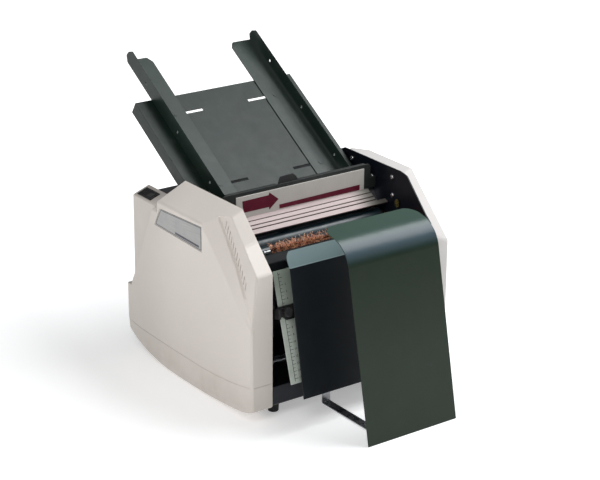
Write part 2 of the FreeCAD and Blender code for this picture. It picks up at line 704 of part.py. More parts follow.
holder_plate = padded("HolderPlate", "XZ_Plane", -161.6, 1.6, [rounded(
    [(-34.0, 250.0), (-34.0, 272.0), (-29.5, 283.5), (-8.0, 284.5), (-1.5, 279.0), (1.5, 272.0),
     (1.5, 250.0), (-6.5, 244.0), (-6.5, 234.0), (-26.5, 234.0), (-26.5, 244.0)],
    [0, 3, 3, 3, 3, 3, 0, 1, 1, 1, 1])])
arm = box(-26.5, -6.5, 192.4, 221.0, 5.0, 8.0, "HolderArm")
arm.Placement = FEEDFRAME.multiply(arm.Placement)
knee = box(-26.5, -6.5, 160.0, 164.4, 233.0, 240.0, "HolderKnee")
pins2 = [rod_y(x, 158.2, 160.5, 263.5, 1.3, "HolderPin") for x in (-21.5, -10.5)]
keep(fuse([holder_plate, arm, knee] + pins2, "SeparatorHolder"), "separator_holder")
keep(box(-25.5, -7.5, 205.0, 220.5, 1.7, 5.0, "SeparatorPad"), "separator_pad", FEEDFRAME)

# warm grey plate in front of the separator bar, left plain
keep(box(-106.5, 116.8, 156.5, 158.0, 236.1, 268.0, "LabelPlate"), "label_plate")

# ----------------------------------------------------- ribbed guide bar
bar_pts = [(157.6, 236.0), (156.5, 236.0), (150.5, 233.0), (149.8, 231.2), (149.2, 231.0),
           (148.7, 232.0), (143.1, 229.1), (142.4, 227.3), (141.8, 227.1), (141.2, 228.1),
           (137.2, 226.1), (136.5, 223.9), (135.8, 223.6), (135.2, 225.0), (128.2, 221.4),
           (128.2, 219.8), (129.6, 219.0), (157.6, 232.8)]
rib = plate_x("RibSection", -FI, 124.0, [rounded(bar_pts, 0.0)])
lip = plate_x("RibLip", 123.0, FI, [rounded(
    [(134.5, 224.6), (128.2, 221.4), (128.2, 219.8), (129.6, 219.0), (136.5, 222.4)], 0.0)])
keep(fuse([rib, lip], "RibbedBar"), "ribbed_bar")

# inner deflector that turns the sheet from the table down to the rollers
turn = plate_x("TurnGuide", -FI, FI, [bent_strip(
    [(166.5, 233.6), (160.5, 227.4), (152.2, 216.0), (151.0, 211.5)], [14.0, 16.0], 1.0)])
keep(turn, "turn_guide")

# ------------------------------------------------------------ front plate
fp = plate_x("FrontCrossPlate", -FI, FI, [bent_strip(
    [(33.2, 188.0), (33.2, 217.0), (45.0, 225.0), (84.0, 206.0)], [3.0, 3.0], 1.5)])
keep(fp, "front_cross_plate")

# anti-static tinsel strung across the exit, held by a wire and two clips
tinsel = rod_x(-102.0, 134.0, 98.0, 204.5, 5.5, "Tinsel")
wire = rod_x(-FI, FI, 98.0, 204.5, 0.8, "TinselWire")
keep(fuse([tinsel, wire], "StaticBrush"), "static_brush")

# ------------------------------------------------------------- the rollers
SH = V("ShaftRadius")
GI, GWD = V("GearInner"), V("GearWidth")


def shaft(name, pos, x0, x1):
    return rod_x(x0, x1, pos[0], pos[1], SH, name, "Params.ShaftRadius")


def roller_cover(name, pos, radius, expr):
    h = V("RollerHalf")
    body = rod_x(-h, h, pos[0], pos[1], radius, name + "Rubber", expr)
    bore = rod_x(-h - 1, h + 1, pos[0], pos[1], SH, name + "Bore", "Params.ShaftRadius")
    return cut(body, bore, name)


keep(shaft("MainShaft", (MY, MZ), -163.0, 146.0), "main_shaft")
keep(shaft("RearShaft", REAR, -152.5, 157.0), "rear_shaft")
keep(shaft("LowerShaft", LOWER, -152.5, 146.0), "lower_shaft")
keep(shaft("FrontShaft", FRONT, -152.5, 146.0), "front_shaft")
keep(shaft("FeedShaft", FEED, -146.0, 157.0), "feed_shaft")
keep(roller_cover("MainRollerCover", (MY, MZ), R, "Params.MainRadius"), "main_roller_cover")
keep(roller_cover("RearRollerCover", REAR, R, "Params.MainRadius"), "rear_roller_cover")
keep(roller_cover("LowerRollerCover", LOWER, R, "Params.MainRadius"), "lower_roller_cover")
keep(roller_cover("FrontRollerCover", FRONT, RF, "Params.FrontRadius"), "front_roller_cover")
tyres = []
for x in WHEELS:
    w = rod_x(x - 10, x + 10, FEED[0], FEED[1], V("FeedRadius"), "FeedWheel", "Params.FeedRadius")
    b = rod_x(x - 11, x + 11, FEED[0], FEED[1], SH, "FeedBore", "Params.ShaftRadius")
    tyres.append(cut(w, b))
keep(group(tyres, "FeedWheels"), "feed_wheels")

# gears outside the left frame, all in one plane
PITCH = 360.0 / V("GearTeeth")
FPITCH = 360.0 / V("FrontTeeth")


def gear_body(name, pos, teeth, phase, expr="Params.GearWidth"):
    return plate_x(name, -GI - GWD, -GI, [gear_outline(pos[0], pos[1], teeth, MODULE, phase),
                                        circle(pos[0], pos[1], SH)], expr)


def mate_phase(angle, main_phase, teeth, main_teeth=None):
    """Phase of a gear at this angle that puts a gap against a main tooth."""
    mt = main_teeth or V("GearTeeth")
    pitch = 360.0 / mt
    eps = (main_phase - angle) % pitch
    if eps > pitch / 2:
        eps -= pitch
    own = 360.0 / teeth
    return angle + 180.0 - eps * mt / teeth + own / 2


keep(gear_body("MainGear", (MY, MZ), V("GearTeeth"), 0.0), "main_gear")
keep(gear_body("RearGear", REAR, V("GearTeeth"), mate_phase(REAR_ANGLE, 0.0, V("GearTeeth"))),
     "rear_gear")
keep(gear_body("LowerGear", LOWER, V("GearTeeth"), mate_phase(LOWER_ANGLE, 0.0, V("GearTeeth"))),
     "lower_gear")
keep(gear_body("FrontGear", FRONT, V("FrontTeeth"), mate_phase(FRONT_ANGLE, 0.0, V("FrontTeeth"))),
     "front_gear")


# ------------------------------------------------------------ belt drives
def pulley(name, pos, radius, x0, x1, boss):
    rim = fuse([rod_x(x0, x0 + 1.2, pos[0], pos[1], radius + 2.0, "Flange"),
                rod_x(x1 - 1.2, x1, pos[0], pos[1], radius + 2.0, "Flange"),
                rod_x(x0, x1, pos[0], pos[1], radius, "Rim")])
    return cut(rim, rod_x(x0 - 1, x1 + 1, pos[0], pos[1], boss, "PulleyBore"), name)


def belt(name, p, rp, q, rq, x0, x1, clear, thick):
    """Closed belt round two pulleys: outer hull less inner hull."""
    def hull(rad_p, rad_q):
        d = math.hypot(q[0] - p[0], q[1] - p[1])
        base = math.atan2(q[1] - p[1], q[0] - p[0])
        off = math.acos((rad_p - rad_q) / d)
        t = []
        for s in (1, -1):
            a = base + s * off
            t.append((Vector(p[0] + rad_p * math.cos(a), p[1] + rad_p * math.sin(a), 0),
                      Vector(q[0] + rad_q * math.cos(a), q[1] + rad_q * math.sin(a), 0)))
        far_p = Vector(p[0] - rad_p * math.cos(base), p[1] - rad_p * math.sin(base), 0)
        far_q = Vector(q[0] + rad_q * math.cos(base), q[1] + rad_q * math.sin(base), 0)
        return [("line", t[0][0], t[0][1]), ("arc", t[0][1], far_q, t[1][1]),
                ("line", t[1][1], t[1][0]), ("arc", t[1][0], far_p, t[0][0])]
    return plate_x(name, x0, x1, [hull(rp + clear + thick, rq + clear + thick),
                                  hull(rp + clear, rq + clear)])


keep(pulley("MainPulley", (MY, MZ), 22.0, -162.0, -154.0, SH), "main_pulley")
keep(pulley("MotorPulley", MOTOR, 8.0, -162.0, -154.0, 2.5), "motor_pulley")
keep(belt("DriveBelt", (MY, MZ), 22.0, MOTOR, 8.0, -160.4, -155.6, 0.3, 1.6), "drive_belt")
keep(pulley("RearPulley", REAR, 9.5, 148.0, 156.0, SH), "rear_pulley")
keep(pulley("FeedPulley", FEED, 11.5, 148.0, 156.0, SH), "feed_pulley")
keep(belt("FeedBelt", REAR, 9.5, FEED, 11.5, 149.6, 154.4, 0.3, 1.4), "feed_belt")

# motor behind the rear fold table, on an angle bracket on the base pan
MR, ML = V("MotorRadius"), V("MotorLength")
can = rod_x(-FI + 6.0, -FI + 6.0 + ML, MOTOR[0], MOTOR[1], MR, "MotorCan", "Params.MotorRadius")
boss = rod_x(-FO - 2.0, -FI + 6.0, MOTOR[0], MOTOR[1], 9.0, "MotorBoss")
cap = rod_x(-FI + 6.0 + ML, -FI + 12.0 + ML, MOTOR[0], MOTOR[1], 15.0, "MotorCap")
keep(cut(fuse([can, boss, cap]), rod_x(-FO - 3, -FI + 8, MOTOR[0], MOTOR[1], 2.55, "MotorBore"),
         "Motor"), "motor")
keep(rod_x(-163.0, -FI + 7.5, MOTOR[0], MOTOR[1], 2.5, "MotorShaft"), "motor_shaft")
br_face = cut(box(-FI + 3.5, -FI + 6.0, 230.0, 294.0, 12.75, 106.0, "BracketFace"),
              [rod_x(-FI, -FI + 8, MOTOR[0], MOTOR[1], 9.0, "BracketHole")])
br_foot = box(-FI + 3.5, -FI + 40.0, 230.0, 294.0, 12.75, 15.25, "BracketFoot")
foot_cut = rod_x(-FI + 6.0, -FI + 50, MOTOR[0], MOTOR[1], MR + 0.5, "BracketClear")
keep(cut(fuse([br_face, br_foot]), [foot_cut], "MotorBracket"), "motor_bracket")

# ------------------------------------------------------- rear fold table
RD = (math.sin(math.radians(REAR_ANGLE)), -math.cos(math.radians(REAR_ANGLE)))   # downward
RN = (math.cos(math.radians(REAR_ANGLE)), math.sin(math.radians(REAR_ANGLE)))    # to the rear
NIP1 = around(REAR_ANGLE, R + GAP / 2)
FS, FG, RH = V("FoldSheet"), V("FoldGap"), V("RearHalf")
# local frame: Y to the rear across the channel, Z up the channel, zero at the nip
RTFRAME = Placement(Vector(0, NIP1[0], NIP1[1]), Rotation(Vector(1, 0, 0), REAR_ANGLE))
tf = box(-RH, RH, -FG / 2 - FS, -FG / 2, -178.0, -34.0, "InnerPlate", Width="Params.FoldSheet")
tf_lugs = [box(lo, hi, -FG / 2 - FS, -FG / 2, -170.0, -150.0, "InnerLug")
           for lo, hi in ((-FI, -RH), (RH, FI))]
tf_lugs += [box(lo, hi, -FG / 2 - FS, -FG / 2, -60.0, -44.0, "InnerLug")
            for lo, hi in ((-FI, -RH), (RH, FI))]
keep(fuse([tf] + tf_lugs, "RearTableInner"), "rear_table_inner_plate", RTFRAME)
FINGERS = (-84.0, -28.0, 28.0, 84.0)
tb = box(-RH, RH, FG / 2, FG / 2 + FS, -178.0, -13.0, "OuterPlate", Width="Params.FoldSheet")
tb_lugs = [box(lo, hi, FG / 2, FG / 2 + FS, -170.0, -150.0, "OuterLug")
           for lo, hi in ((-FI, -RH), (RH, FI))]
tb_lugs += [box(lo, hi, FG / 2, FG / 2 + FS, -60.0, -44.0, "OuterLug")
            for lo, hi in ((-FI, -RH), (RH, FI))]
tb_slots = [box(x - 4.2, x + 4.2, 0, 6, -172.0, -56.0, "FingerSlot") for x in FINGERS]
keep(cut(fuse([tb] + tb_lugs), tb_slots, "RearTableOuter"), "rear_table_outer_plate", RTFRAME)
REARSTOP = -93.0
stop_items = [box(-100.0, 100.0, FG / 2 + FS + 0.4, FG / 2 + FS + 7.4, REARSTOP - 8.0, REARSTOP,
                  "StopBar")]
for x in FINGERS:
    stop_items.append(box(x - 3.4, x + 3.4, -FG / 2 + 0.3, FG / 2 + FS + 1.0, REARSTOP - 5.0,
                          REARSTOP, "StopFinger"))
stop_items.append(box(-9.0, 9.0, FG / 2 + FS + 7.4, FG / 2 + FS + 24.0, REARSTOP - 6.0,
                      REARSTOP - 2.0, "StopGrip"))
keep(fuse(stop_items, "RearFoldStop"), "rear_fold_stop", RTFRAME)

# ------------------------------------------------------ front fold table
TOPY, TOPZ = 31.0, 206.0
FDIR = (-0.2833, -0.9590)
FANG = math.degrees(math.atan2(0.2833, 0.9590))
# local frame: Y to the rear, Z up the table, zero at the top of its front face
FTFRAME = Placement(Vector(0, TOPY, TOPZ), Rotation(Vector(1, 0, 0), -FANG))
FH = V("FoldHalf")


def loc(y, z):
    """datum (y, z) to the table's own frame"""
    dy, dz = y - TOPY, z - TOPZ
    a = math.radians(FANG)
    return (dy * math.cos(a) - dz * math.sin(a), dy * math.sin(a) + dz * math.cos(a))


NIP2 = around(LOWER_ANGLE, R + GAP / 2)
lead = loc(NIP2[0] - 20.0, NIP2[1] + 20.0 * math.tan(math.radians(5.0)))
lead_dir = loc(NIP2[0] - 60.0, NIP2[1] + 60.0 * math.tan(math.radians(5.0)))
# where the lead-in line meets the channel's middle plane
cy = FS + FG / 2
kk = (cy - lead[0]) / (lead_dir[0] - lead[0])
meet = (cy, lead[1] + kk * (lead_dir[1] - lead[1]))
start_k = 0.0
mid_line = [lead, meet, (cy, -167.0)]


def channel(off, first, last):
    """A plate beside the channel's middle line, off mm to its rear/below."""
    d0 = Vector(mid_line[1][0] - mid_line[0][0], mid_line[1][1] - mid_line[0][1], 0)
    d0.normalize()
    n0 = Vector(-d0.y, d0.x, 0)              # left of travel
    p0 = Vector(mid_line[0][0], mid_line[0][1], 0) + d0 * first + n0 * off
    # corner of the offset lines
    d1 = Vector(0, -1, 0)
    n1 = Vector(1, 0, 0)
    ym = mid_line[1][0] + n1.x * off
    k = (ym - p0.x) / d0.x
    corner = p0 + d0 * k
    return [(p0.x, p0.y), (corner.x, corner.y), (ym, last)]


LEAD_R = 45.0
outer_mid = channel(-(FG / 2 + FS / 2), 30.0, -100.0)
inner_mid = channel(FG / 2 + FS / 2, 0.0, -156.0)
front_curve = plate_x("FrontTableLead", -FH + 8, FH - 8,
                      [bent_strip(outer_mid, LEAD_R + FG / 2 + FS / 2, FS)])
front_flat = box(-FH, FH, 0.0, FS, -156.0, 0.0, "FrontFlat", Width="Params.FoldSheet")
back = plate_x("FrontTableBack", -FH + 8, FH - 8,
               [bent_strip(inner_mid, LEAD_R - FG / 2 - FS / 2, FS)])
# lugs that carry both plates on the side frames
TOLOCAL = FTFRAME.inverse()


def lug(x0, x1, y0, y1, z0, z1):
    b = box(x0, x1, y0, y1, z0, z1, "TableLug")
    b.Placement = TOLOCAL.multiply(b.Placement)
    return b


low_lugs = [lug(lo, hi, 84.0, 104.0, 183.4, 186.4) for lo, hi in
            ((-FI, -FH + 10), (FH - 10, FI))]
top_lugs = [lug(lo, hi, 60.0, 80.0, 188.9, 192.0) for lo, hi in
            ((-FI, -FH + 10), (FH - 10, FI))]
keep(fuse([front_curve, front_flat] + top_lugs, "FrontTableFront"), "front_table_front_plate",
     FTFRAME)
back = fuse([back] + low_lugs, "FrontTableBackPlate")
bslots = [box(x - 4.2, x + 4.2, FS + FG / 2, FS + FG + 9.0, -148.0, -50.0, "FingerSlot")
          for x in (-96.0, -32.0, 32.0, 96.0)]
keep(cut(back, bslots, "FrontTableBackCut"), "front_table_back_plate", FTFRAME)
# paper stop: a bar behind the table with fingers through it, and a clamp that
# wraps the table's left edge, held by a thumb screw
FSTOP = -57.9
yb = FS + FG + FS + 0.4
fst = [box(-FH - 3.4, 120.0, yb, yb + 6.0, FSTOP - 7.0, FSTOP, "FrontStopBar")]
for x in (-96.0, -32.0, 32.0, 96.0):
    fst.append(box(x - 3.4, x + 3.4, FS + 0.3, yb + 1.0, FSTOP - 5.0, FSTOP, "FrontFinger"))
fst.append(box(-FH - 3.4, -FH - 0.5, -3.4, yb + 6.0, FSTOP - 7.0, FSTOP + 7.0, "StopSide"))
clamp = padded("StopClamp", "XZ_Plane", 0.4, 3.0, [rounded(
    [(-FH - 3.4, FSTOP + 9.9), (-106.0, FSTOP + 9.9), (-106.0, FSTOP - 9.9),
     (-FH + 8.0, FSTOP - 9.9), (-FH - 3.4, FSTOP + 1.5)], [3, 2, 2, 3, 3])])
fst.append(clamp)
fst.append(box(-FH - 3.4, -119.5, -6.4, -3.0, FSTOP - 4.0, FSTOP + 7.0, "ClampPad"))
KX = -FH + 7.5
keep(cut(fuse(fst), [rod_y(KX, -8.0, -0.2, FSTOP + 1.5, 2.05, "ClampBore")],
         "FrontFoldStop"), "front_fold_stop", FTFRAME)
ky = -6.7
kn = fuse([rod_y(KX, ky - 6.5, ky, FSTOP + 1.5, 6.3, "KnobHead"),
           rod_y(KX, ky, -0.5, FSTOP + 1.5, 2.0, "KnobStud")])
flutes = [rod_y(KX + 6.9 * math.cos(k * math.pi / 5), ky - 8.0, ky + 0.2,
                FSTOP + 1.5 + 6.9 * math.sin(k * math.pi / 5), 1.2, "Flute") for k in range(10)]
keep(cut(kn, flutes, "StopKnob"), "stop_knob", FTFRAME)

# --------------------------------------------------------- the exit chute
IH = V("InnerHalf")
ITK = V("ChuteThick")
inner = plate_x("InnerChute", -IH, IH, [bent_strip(
    [(25.0, 232.6), (12.6, 212.7), (-21.4, 34.0)], 2.5, ITK)])
corner = []
for s in (-1, 1):
    blk = box(s * (IH - 5.0) - 7, s * (IH - 5.0) + 7, 10, 45, 221.5, 240, "FlangeCorner")
    corner.append(cut(blk, rod_y(s * (IH - 12.0), 0, 60, 221.5, 12.0, "FlangeRound")))
# four spacers carry the plate on the front fold table
spacers = []
for x in (-95.0, 95.0):
    for zl in (-18.0, -142.0):
        # where the plate's middle line crosses this height of the table
        (ya, za), (yc, zc) = loc(12.6, 212.7), loc(-21.4, 34.0)
        near = ya + (yc - ya) * (zl - za) / (zc - za)
        r = rod_y(x, near, 0.0, zl, 4.0, "Spacer")
        r.Placement = FTFRAME.multiply(r.Placement)
        spacers.append(r)
keep(fuse([cut(inner, corner, "InnerChuteSheet")] + spacers, "InnerChutePlate"),
     "inner_chute_plate")

CL, CWD = V("ChuteLeft"), V("ChuteWidth")
outer = plate_x("OuterChuteSheet", CL, CL + CWD, [bent_strip(
    [(-9.5, 269.0), (-64.9, 258.5), (-119.9, -7.0)], 42.0, ITK)], "Params.ChuteWidth")
plan = plate_z("ChutePlan", -20.0, 290.0, [rounded(
    [(CL, -140.0), (CL, -9.0), (CL + CWD, -9.0), (CL + CWD, -140.0)], [0, 20, 20, 0])])
com = doc.addObject("Part::Common", "OuterChute")
com.Base, com.Tool = outer, plan
trim = box(CL - 5, CL + CWD + 5, -140, -100, -12.0, -7.0, "ChuteTrim")
keep(cut(com, [trim], "OuterChuteCut"), "outer_chute")
straps = []
for x in (-48.0, 28.0):
    straps.append(plate_x("Strap", x - 7.0, x + 7.0, [bent_strip(
        [(-111.9, 24.0), (-118.1, -5.9), (22.44, -5.9), (22.44, 22.0)], 2.0, 1.6)]))
keep(group(straps, "ChuteStraps"), "chute_straps")

# ---------------------------------------------------------------- fasteners
scr = []
for y, z in SCREWS + LOWSCREWS:
    for s in (-1, 1):
        if (y, z) in LOWSCREWS:
            continue
        lo, hi = sorted((s * (FI - 2.2), s * FI))
        head = rod_x(lo, hi, y, z, 3.6, "ScrewHead")
        lo, hi = sorted((s * (FI - 1.0), s * (FO + 9.0)))
        scr.append(fuse([head, rod_x(lo, hi, y, z, 1.95, "ScrewShank")]))
keep(group(scr, "FrameScrews"), "frame_screws")

# ------------------------------------------------------------ check, export
doc.recompute()
bad = []
for o in doc.Objects:
    if "Invalid" in o.State or "Error" in o.State:
        bad.append((o.Name, o.Label, list(o.State)))
for label, o in KEPT:
    s = o.Shape
    if s.isNull() or not s.isValid() or not s.Solids:
        bad.append((label, "shape"))
if bad:
    raise RuntimeError("bad objects: %s" % bad)
os.makedirs("parts", exist_ok=True)
total = None
for label, o in KEPT:
    o.Shape.exportStep("parts/%s.step" % label)
    b = o.Shape.BoundBox
    total = b if total is None else total.united(b)
    print("%-26s solids %2d  vol %9.1f  x %.1f %.1f  y %.1f %.1f  z %.1f %.1f" % (
        label, len(o.Shape.Solids), o.Shape.Volume, b.XMin, b.XMax, b.YMin, b.YMax, b.ZMin, b.ZMax))
print("nodes", len(KEPT))
print("bounds", total)
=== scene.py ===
"""Paper folding machine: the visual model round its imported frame, in metres."""
import bpy
import bmesh
import json
import math
import random
from mathutils import Matrix, Vector
from mathutils.bvhtree import BVHTree


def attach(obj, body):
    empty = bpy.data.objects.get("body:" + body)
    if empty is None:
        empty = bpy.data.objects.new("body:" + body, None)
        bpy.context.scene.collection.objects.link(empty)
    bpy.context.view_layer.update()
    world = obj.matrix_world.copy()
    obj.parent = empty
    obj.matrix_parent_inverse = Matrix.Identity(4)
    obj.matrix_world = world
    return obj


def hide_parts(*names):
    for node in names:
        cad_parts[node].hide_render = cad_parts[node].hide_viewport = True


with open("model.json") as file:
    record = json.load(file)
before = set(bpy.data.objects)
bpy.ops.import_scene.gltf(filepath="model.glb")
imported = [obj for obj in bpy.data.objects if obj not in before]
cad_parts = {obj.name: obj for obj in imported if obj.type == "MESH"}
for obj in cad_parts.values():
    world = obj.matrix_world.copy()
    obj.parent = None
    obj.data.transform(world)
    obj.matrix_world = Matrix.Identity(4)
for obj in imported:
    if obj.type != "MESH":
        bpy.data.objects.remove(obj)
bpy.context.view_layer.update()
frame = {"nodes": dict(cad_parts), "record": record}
NODES = frame["nodes"]
SLOT = {s["node"]: s["material_slot"] for s in frame["record"]["subparts"]}
BODY = {}
for body_name, members in frame["record"]["behaviour"]["bodies"].items():
    for member in members:
        BODY[member] = body_name
rnd = random.Random(4806)
scene = bpy.context.scene


def D(xc, y, z):
    """The machine's own datum, in millimetres, to the row frame."""
    return Vector((xc + 5.4, y - 158.71, z + 7.0)) * 0.001


# ------------------------------------------------------- camera and studio
cam_data = bpy.data.cameras.new("Camera")
cam = bpy.data.objects.new("Camera", cam_data)
scene.collection.objects.link(cam)
cam_data.sensor_width = 36.0
cam_data.lens = 111.9985
cam_data.clip_end = 50.0
RIGHT = Vector((0.810327, -0.585939, 0.006694))
UPWARD = Vector((0.204001, 0.292797, 0.934159))
BACK = -Vector((0.549321, 0.755609, -0.356793))
rot = Matrix((RIGHT, UPWARD, BACK)).transposed().to_4x4()
cam.matrix_world = Matrix.Translation(Vector((-1.457305, -2.017978, 1.141316))) @ rot
scene.camera = cam

world = bpy.data.worlds.new("Studio")
scene.world = world
world.use_nodes = True
wn = world.node_tree
wn.nodes.clear()
w_out = wn.nodes.new("ShaderNodeOutputWorld")
w_mix = wn.nodes.new("ShaderNodeMixShader")
w_path = wn.nodes.new("ShaderNodeLightPath")
w_dim = wn.nodes.new("ShaderNodeBackground")
w_dim.inputs["Color"].default_value = (0.97, 0.98, 1.0, 1)
w_dim.inputs["Strength"].default_value = 0.27
w_see = wn.nodes.new("ShaderNodeBackground")
w_see.inputs["Color"].default_value = (1, 1, 1, 1)
w_see.inputs["Strength"].default_value = 1.0
wn.links.new(w_path.outputs["Is Camera Ray"], w_mix.inputs[0])
wn.links.new(w_dim.outputs[0], w_mix.inputs[1])
wn.links.new(w_see.outputs[0], w_mix.inputs[2])
wn.links.new(w_mix.outputs[0], w_out.inputs[0])
scene.view_settings.view_transform = "Standard"


def area_light(name, place, aim, size, power, colour=(1, 1, 1)):
    d = bpy.data.lights.new(name, "AREA")
    d.shape = "SQUARE"
    d.size = size
    d.energy = power
    d.color = colour
    o = bpy.data.objects.new(name, d)
    scene.collection.objects.link(o)
    o.location = place
    look = Vector(aim) - Vector(place)
    o.rotation_euler = look.to_track_quat("-Z", "Y").to_euler()
    return o


area_light("TopSoftbox", (1.04, -0.38, 1.86), (0, -0.1, 0.3), 1.35, 44.0, (0.96, 0.99, 1.0))
area_light("LeftSoftbox", (-1.2, -0.9, 1.7), (0, 0, 0.2), 1.0, 11.0)
area_light("FrontSoftbox", (1.04, -1.39, 1.19), (0, -0.1, 0.2), 0.85, 2.5, (0.94, 0.98, 1.0))
area_light("SideSoftbox", (-2.1, -1.0, 0.9), (0, 0, 0.2), 1.0, 4.5)

floor_mesh = bpy.data.meshes.new("Floor")
fb = bmesh.new()
bmesh.ops.create_grid(fb, x_segments=2, y_segments=2, size=2.6)
fb.to_mesh(floor_mesh)
fb.free()
floor = bpy.data.objects.new("Floor", floor_mesh)
floor.location = (0, 0, -0.0002)
scene.collection.objects.link(floor)


# ---------------------------------------------------------- material tools
def lin(c):
    c = c / 255.0
    return c / 12.92 if c <= 0.04045 else ((c + 0.055) / 1.055) ** 2.4


def rgb(r, g, b):
    return (lin(r), lin(g), lin(b), 1.0)


def shade(c, k):
    return (min(1, c[0] * k), min(1, c[1] * k), min(1, c[2] * k), 1.0)


class Finish:
    """One node material, built up in a few calls."""

    def __init__(self, name, rough=0.5, metal=0.0, spec=0.5):
        self.m = bpy.data.materials.new(name)
        self.m.use_nodes = True
        self.nt = self.m.node_tree
        self.b = self.nt.nodes["Principled BSDF"]
        self.b.inputs["Metallic"].default_value = metal
        self.b.inputs["Roughness"].default_value = rough
        self.b.inputs["Specular IOR Level"].default_value = spec
        self.co = self.nt.nodes.new("ShaderNodeTexCoord").outputs["Object"]
        self.normal = None

    def link(self, a, b):
        self.nt.links.new(a, b)

    def put(self, socket, value):
        if isinstance(value, bpy.types.NodeSocket):
            self.link(value, socket)
        else:
            socket.default_value = value

    def scaled(self, sx, sy, sz, turn=(0, 0, 0), vec=None):
        n = self.nt.nodes.new("ShaderNodeMapping")
        n.inputs["Rotation"].default_value = turn
        n.inputs["Scale"].default_value = (sx, sy, sz)
        self.link(vec or self.co, n.inputs["Vector"])
        return n.outputs[0]

    def noise(self, scale, detail=2.0, rough=0.5, warp=0.0, vec=None):
        n = self.nt.nodes.new("ShaderNodeTexNoise")
        n.inputs["Scale"].default_value = scale
        n.inputs["Detail"].default_value = detail
        n.inputs["Roughness"].default_value = rough
        n.inputs["Distortion"].default_value = warp
        self.link(vec or self.co, n.inputs["Vector"])
        return n.outputs["Fac"]

    def cells(self, scale, vec=None, feature="F1"):
        n = self.nt.nodes.new("ShaderNodeTexVoronoi")
        n.feature = feature
        n.inputs["Scale"].default_value = scale
        self.link(vec or self.co, n.inputs["Vector"])
        return n.outputs["Distance"]

    def ramp(self, fac, stops):
        n = self.nt.nodes.new("ShaderNodeValToRGB")
        el = n.color_ramp.elements
        while len(el) < len(stops):
            el.new(0.5)
        for e, (p, c) in zip(el, stops):
            e.position = p
            e.color = c if isinstance(c, tuple) else (c, c, c, 1)
        self.link(fac, n.inputs[0])
        return n.outputs[0]

    def mix(self, fac, a, b, mode="MIX"):
        n = self.nt.nodes.new("ShaderNodeMix")
        n.data_type = "RGBA"
        n.blend_type = mode
        self.put(n.inputs["Factor"], fac)
        self.put(n.inputs[6], a)
        self.put(n.inputs[7], b)
        return n.outputs[2]

    def calc(self, op, a, b=0.0, clamp=False):
        n = self.nt.nodes.new("ShaderNodeMath")
        n.operation = op
        n.use_clamp = clamp
        self.put(n.inputs[0], a)
        self.put(n.inputs[1], b)
        return n.outputs[0]

    def span(self, v, a, b, lo=0.0, hi=1.0, smooth=False):
        n = self.nt.nodes.new("ShaderNodeMapRange")
        n.interpolation_type = "SMOOTHSTEP" if smooth else "LINEAR"
        n.inputs["From Min"].default_value = a
        n.inputs["From Max"].default_value = b
        n.inputs["To Min"].default_value = lo
        n.inputs["To Max"].default_value = hi
        self.link(v, n.inputs["Value"])
        return n.outputs["Result"]

    def parts(self, vec=None):
        n = self.nt.nodes.new("ShaderNodeSeparateXYZ")
        self.link(vec or self.co, n.inputs[0])
        return n.outputs

    def bump(self, height, distance, strength=1.0):
        n = self.nt.nodes.new("ShaderNodeBump")
        n.inputs["Distance"].default_value = distance
        n.inputs["Strength"].default_value = strength
        self.link(height, n.inputs["Height"])
        if self.normal is not None:
            self.link(self.normal, n.inputs["Normal"])
        self.normal = n.outputs[0]
        self.link(self.normal, self.b.inputs["Normal"])

    def colour(self, c):
        self.put(self.b.inputs["Base Color"], c)

    def gloss(self, fac, lo, hi):
        self.link(self.span(fac, 0.25, 0.75, lo, hi), self.b.inputs["Roughness"])

    def coat(self, weight, rough):
        self.b.inputs["Coat Weight"].default_value = weight
        self.b.inputs["Coat Roughness"].default_value = rough


def speckled(f, c, coarse=14.0, fine=900.0, vary=0.05, speck=0.05):
    """Soft clouding plus fine speckle on a base colour."""
    cloud = f.noise(coarse, 3, 0.55)
    tone = f.ramp(cloud, [(0.3, shade(c, 1 - vary)), (0.7, shade(c, 1 + vary))])
    grain = f.noise(fine, 1, 0.5)
    fleck = f.ramp(grain, [(0.3, 1 - speck), (0.7, 1.0)])
    return f.mix(1.0, tone, fleck, "MULTIPLY")


def painted(name, c, rough=0.42, spec=0.35, texture=1400.0, depth=0.00006, vary=0.12,
            rub=0.0, rub_axis=(260, 18, 18), turn=(0, 0, 0), dust=0.05, painted_light_bands=(), speck=0.10):
    """Stove-enamelled sheet: fine powder texture, clouding, faint rub marks, and optional painted light bands
    above given heights.
    """
    f = Finish(name, rough, 0.0, spec)
    base = speckled(f, c, 18.0, texture * 0.6, vary, speck)
    for z0, z1, painted_tint in painted_light_bands:
        # painted light: another tone above a height, tuned to match; it stands for a reflection
        painted_light_mask = f.span(f.parts()[2], z0, z1, 0.0, 1.0, True)
        cloud = f.span(f.noise(34.0, 3, 0.6), 0.3, 0.7, 0.90, 1.0)
        base = f.mix(f.calc("MULTIPLY", painted_light_mask, cloud), base, painted_tint)
    if rub:
        mark = f.noise(1.0, 4, 0.6, 0.0, f.scaled(*rub_axis, turn=turn))
        worn = f.span(mark, 0.56, 0.78, 0.0, rub)
        base = f.mix(worn, base, shade(c, 2.6))
    dusty = f.span(f.noise(46.0, 4, 0.65), 0.50, 0.80, 0.0, dust)
    base = f.mix(dusty, base, rgb(150, 148, 142))
    f.colour(base)
    f.gloss(f.noise(60.0, 3, 0.6), rough - 0.03, rough + 0.04)
    f.bump(f.noise(texture, 2, 0.5), depth, 0.6)
    f.bump(f.noise(26.0, 2, 0.5), 0.0001, 0.12)
    return f.m


M = {}

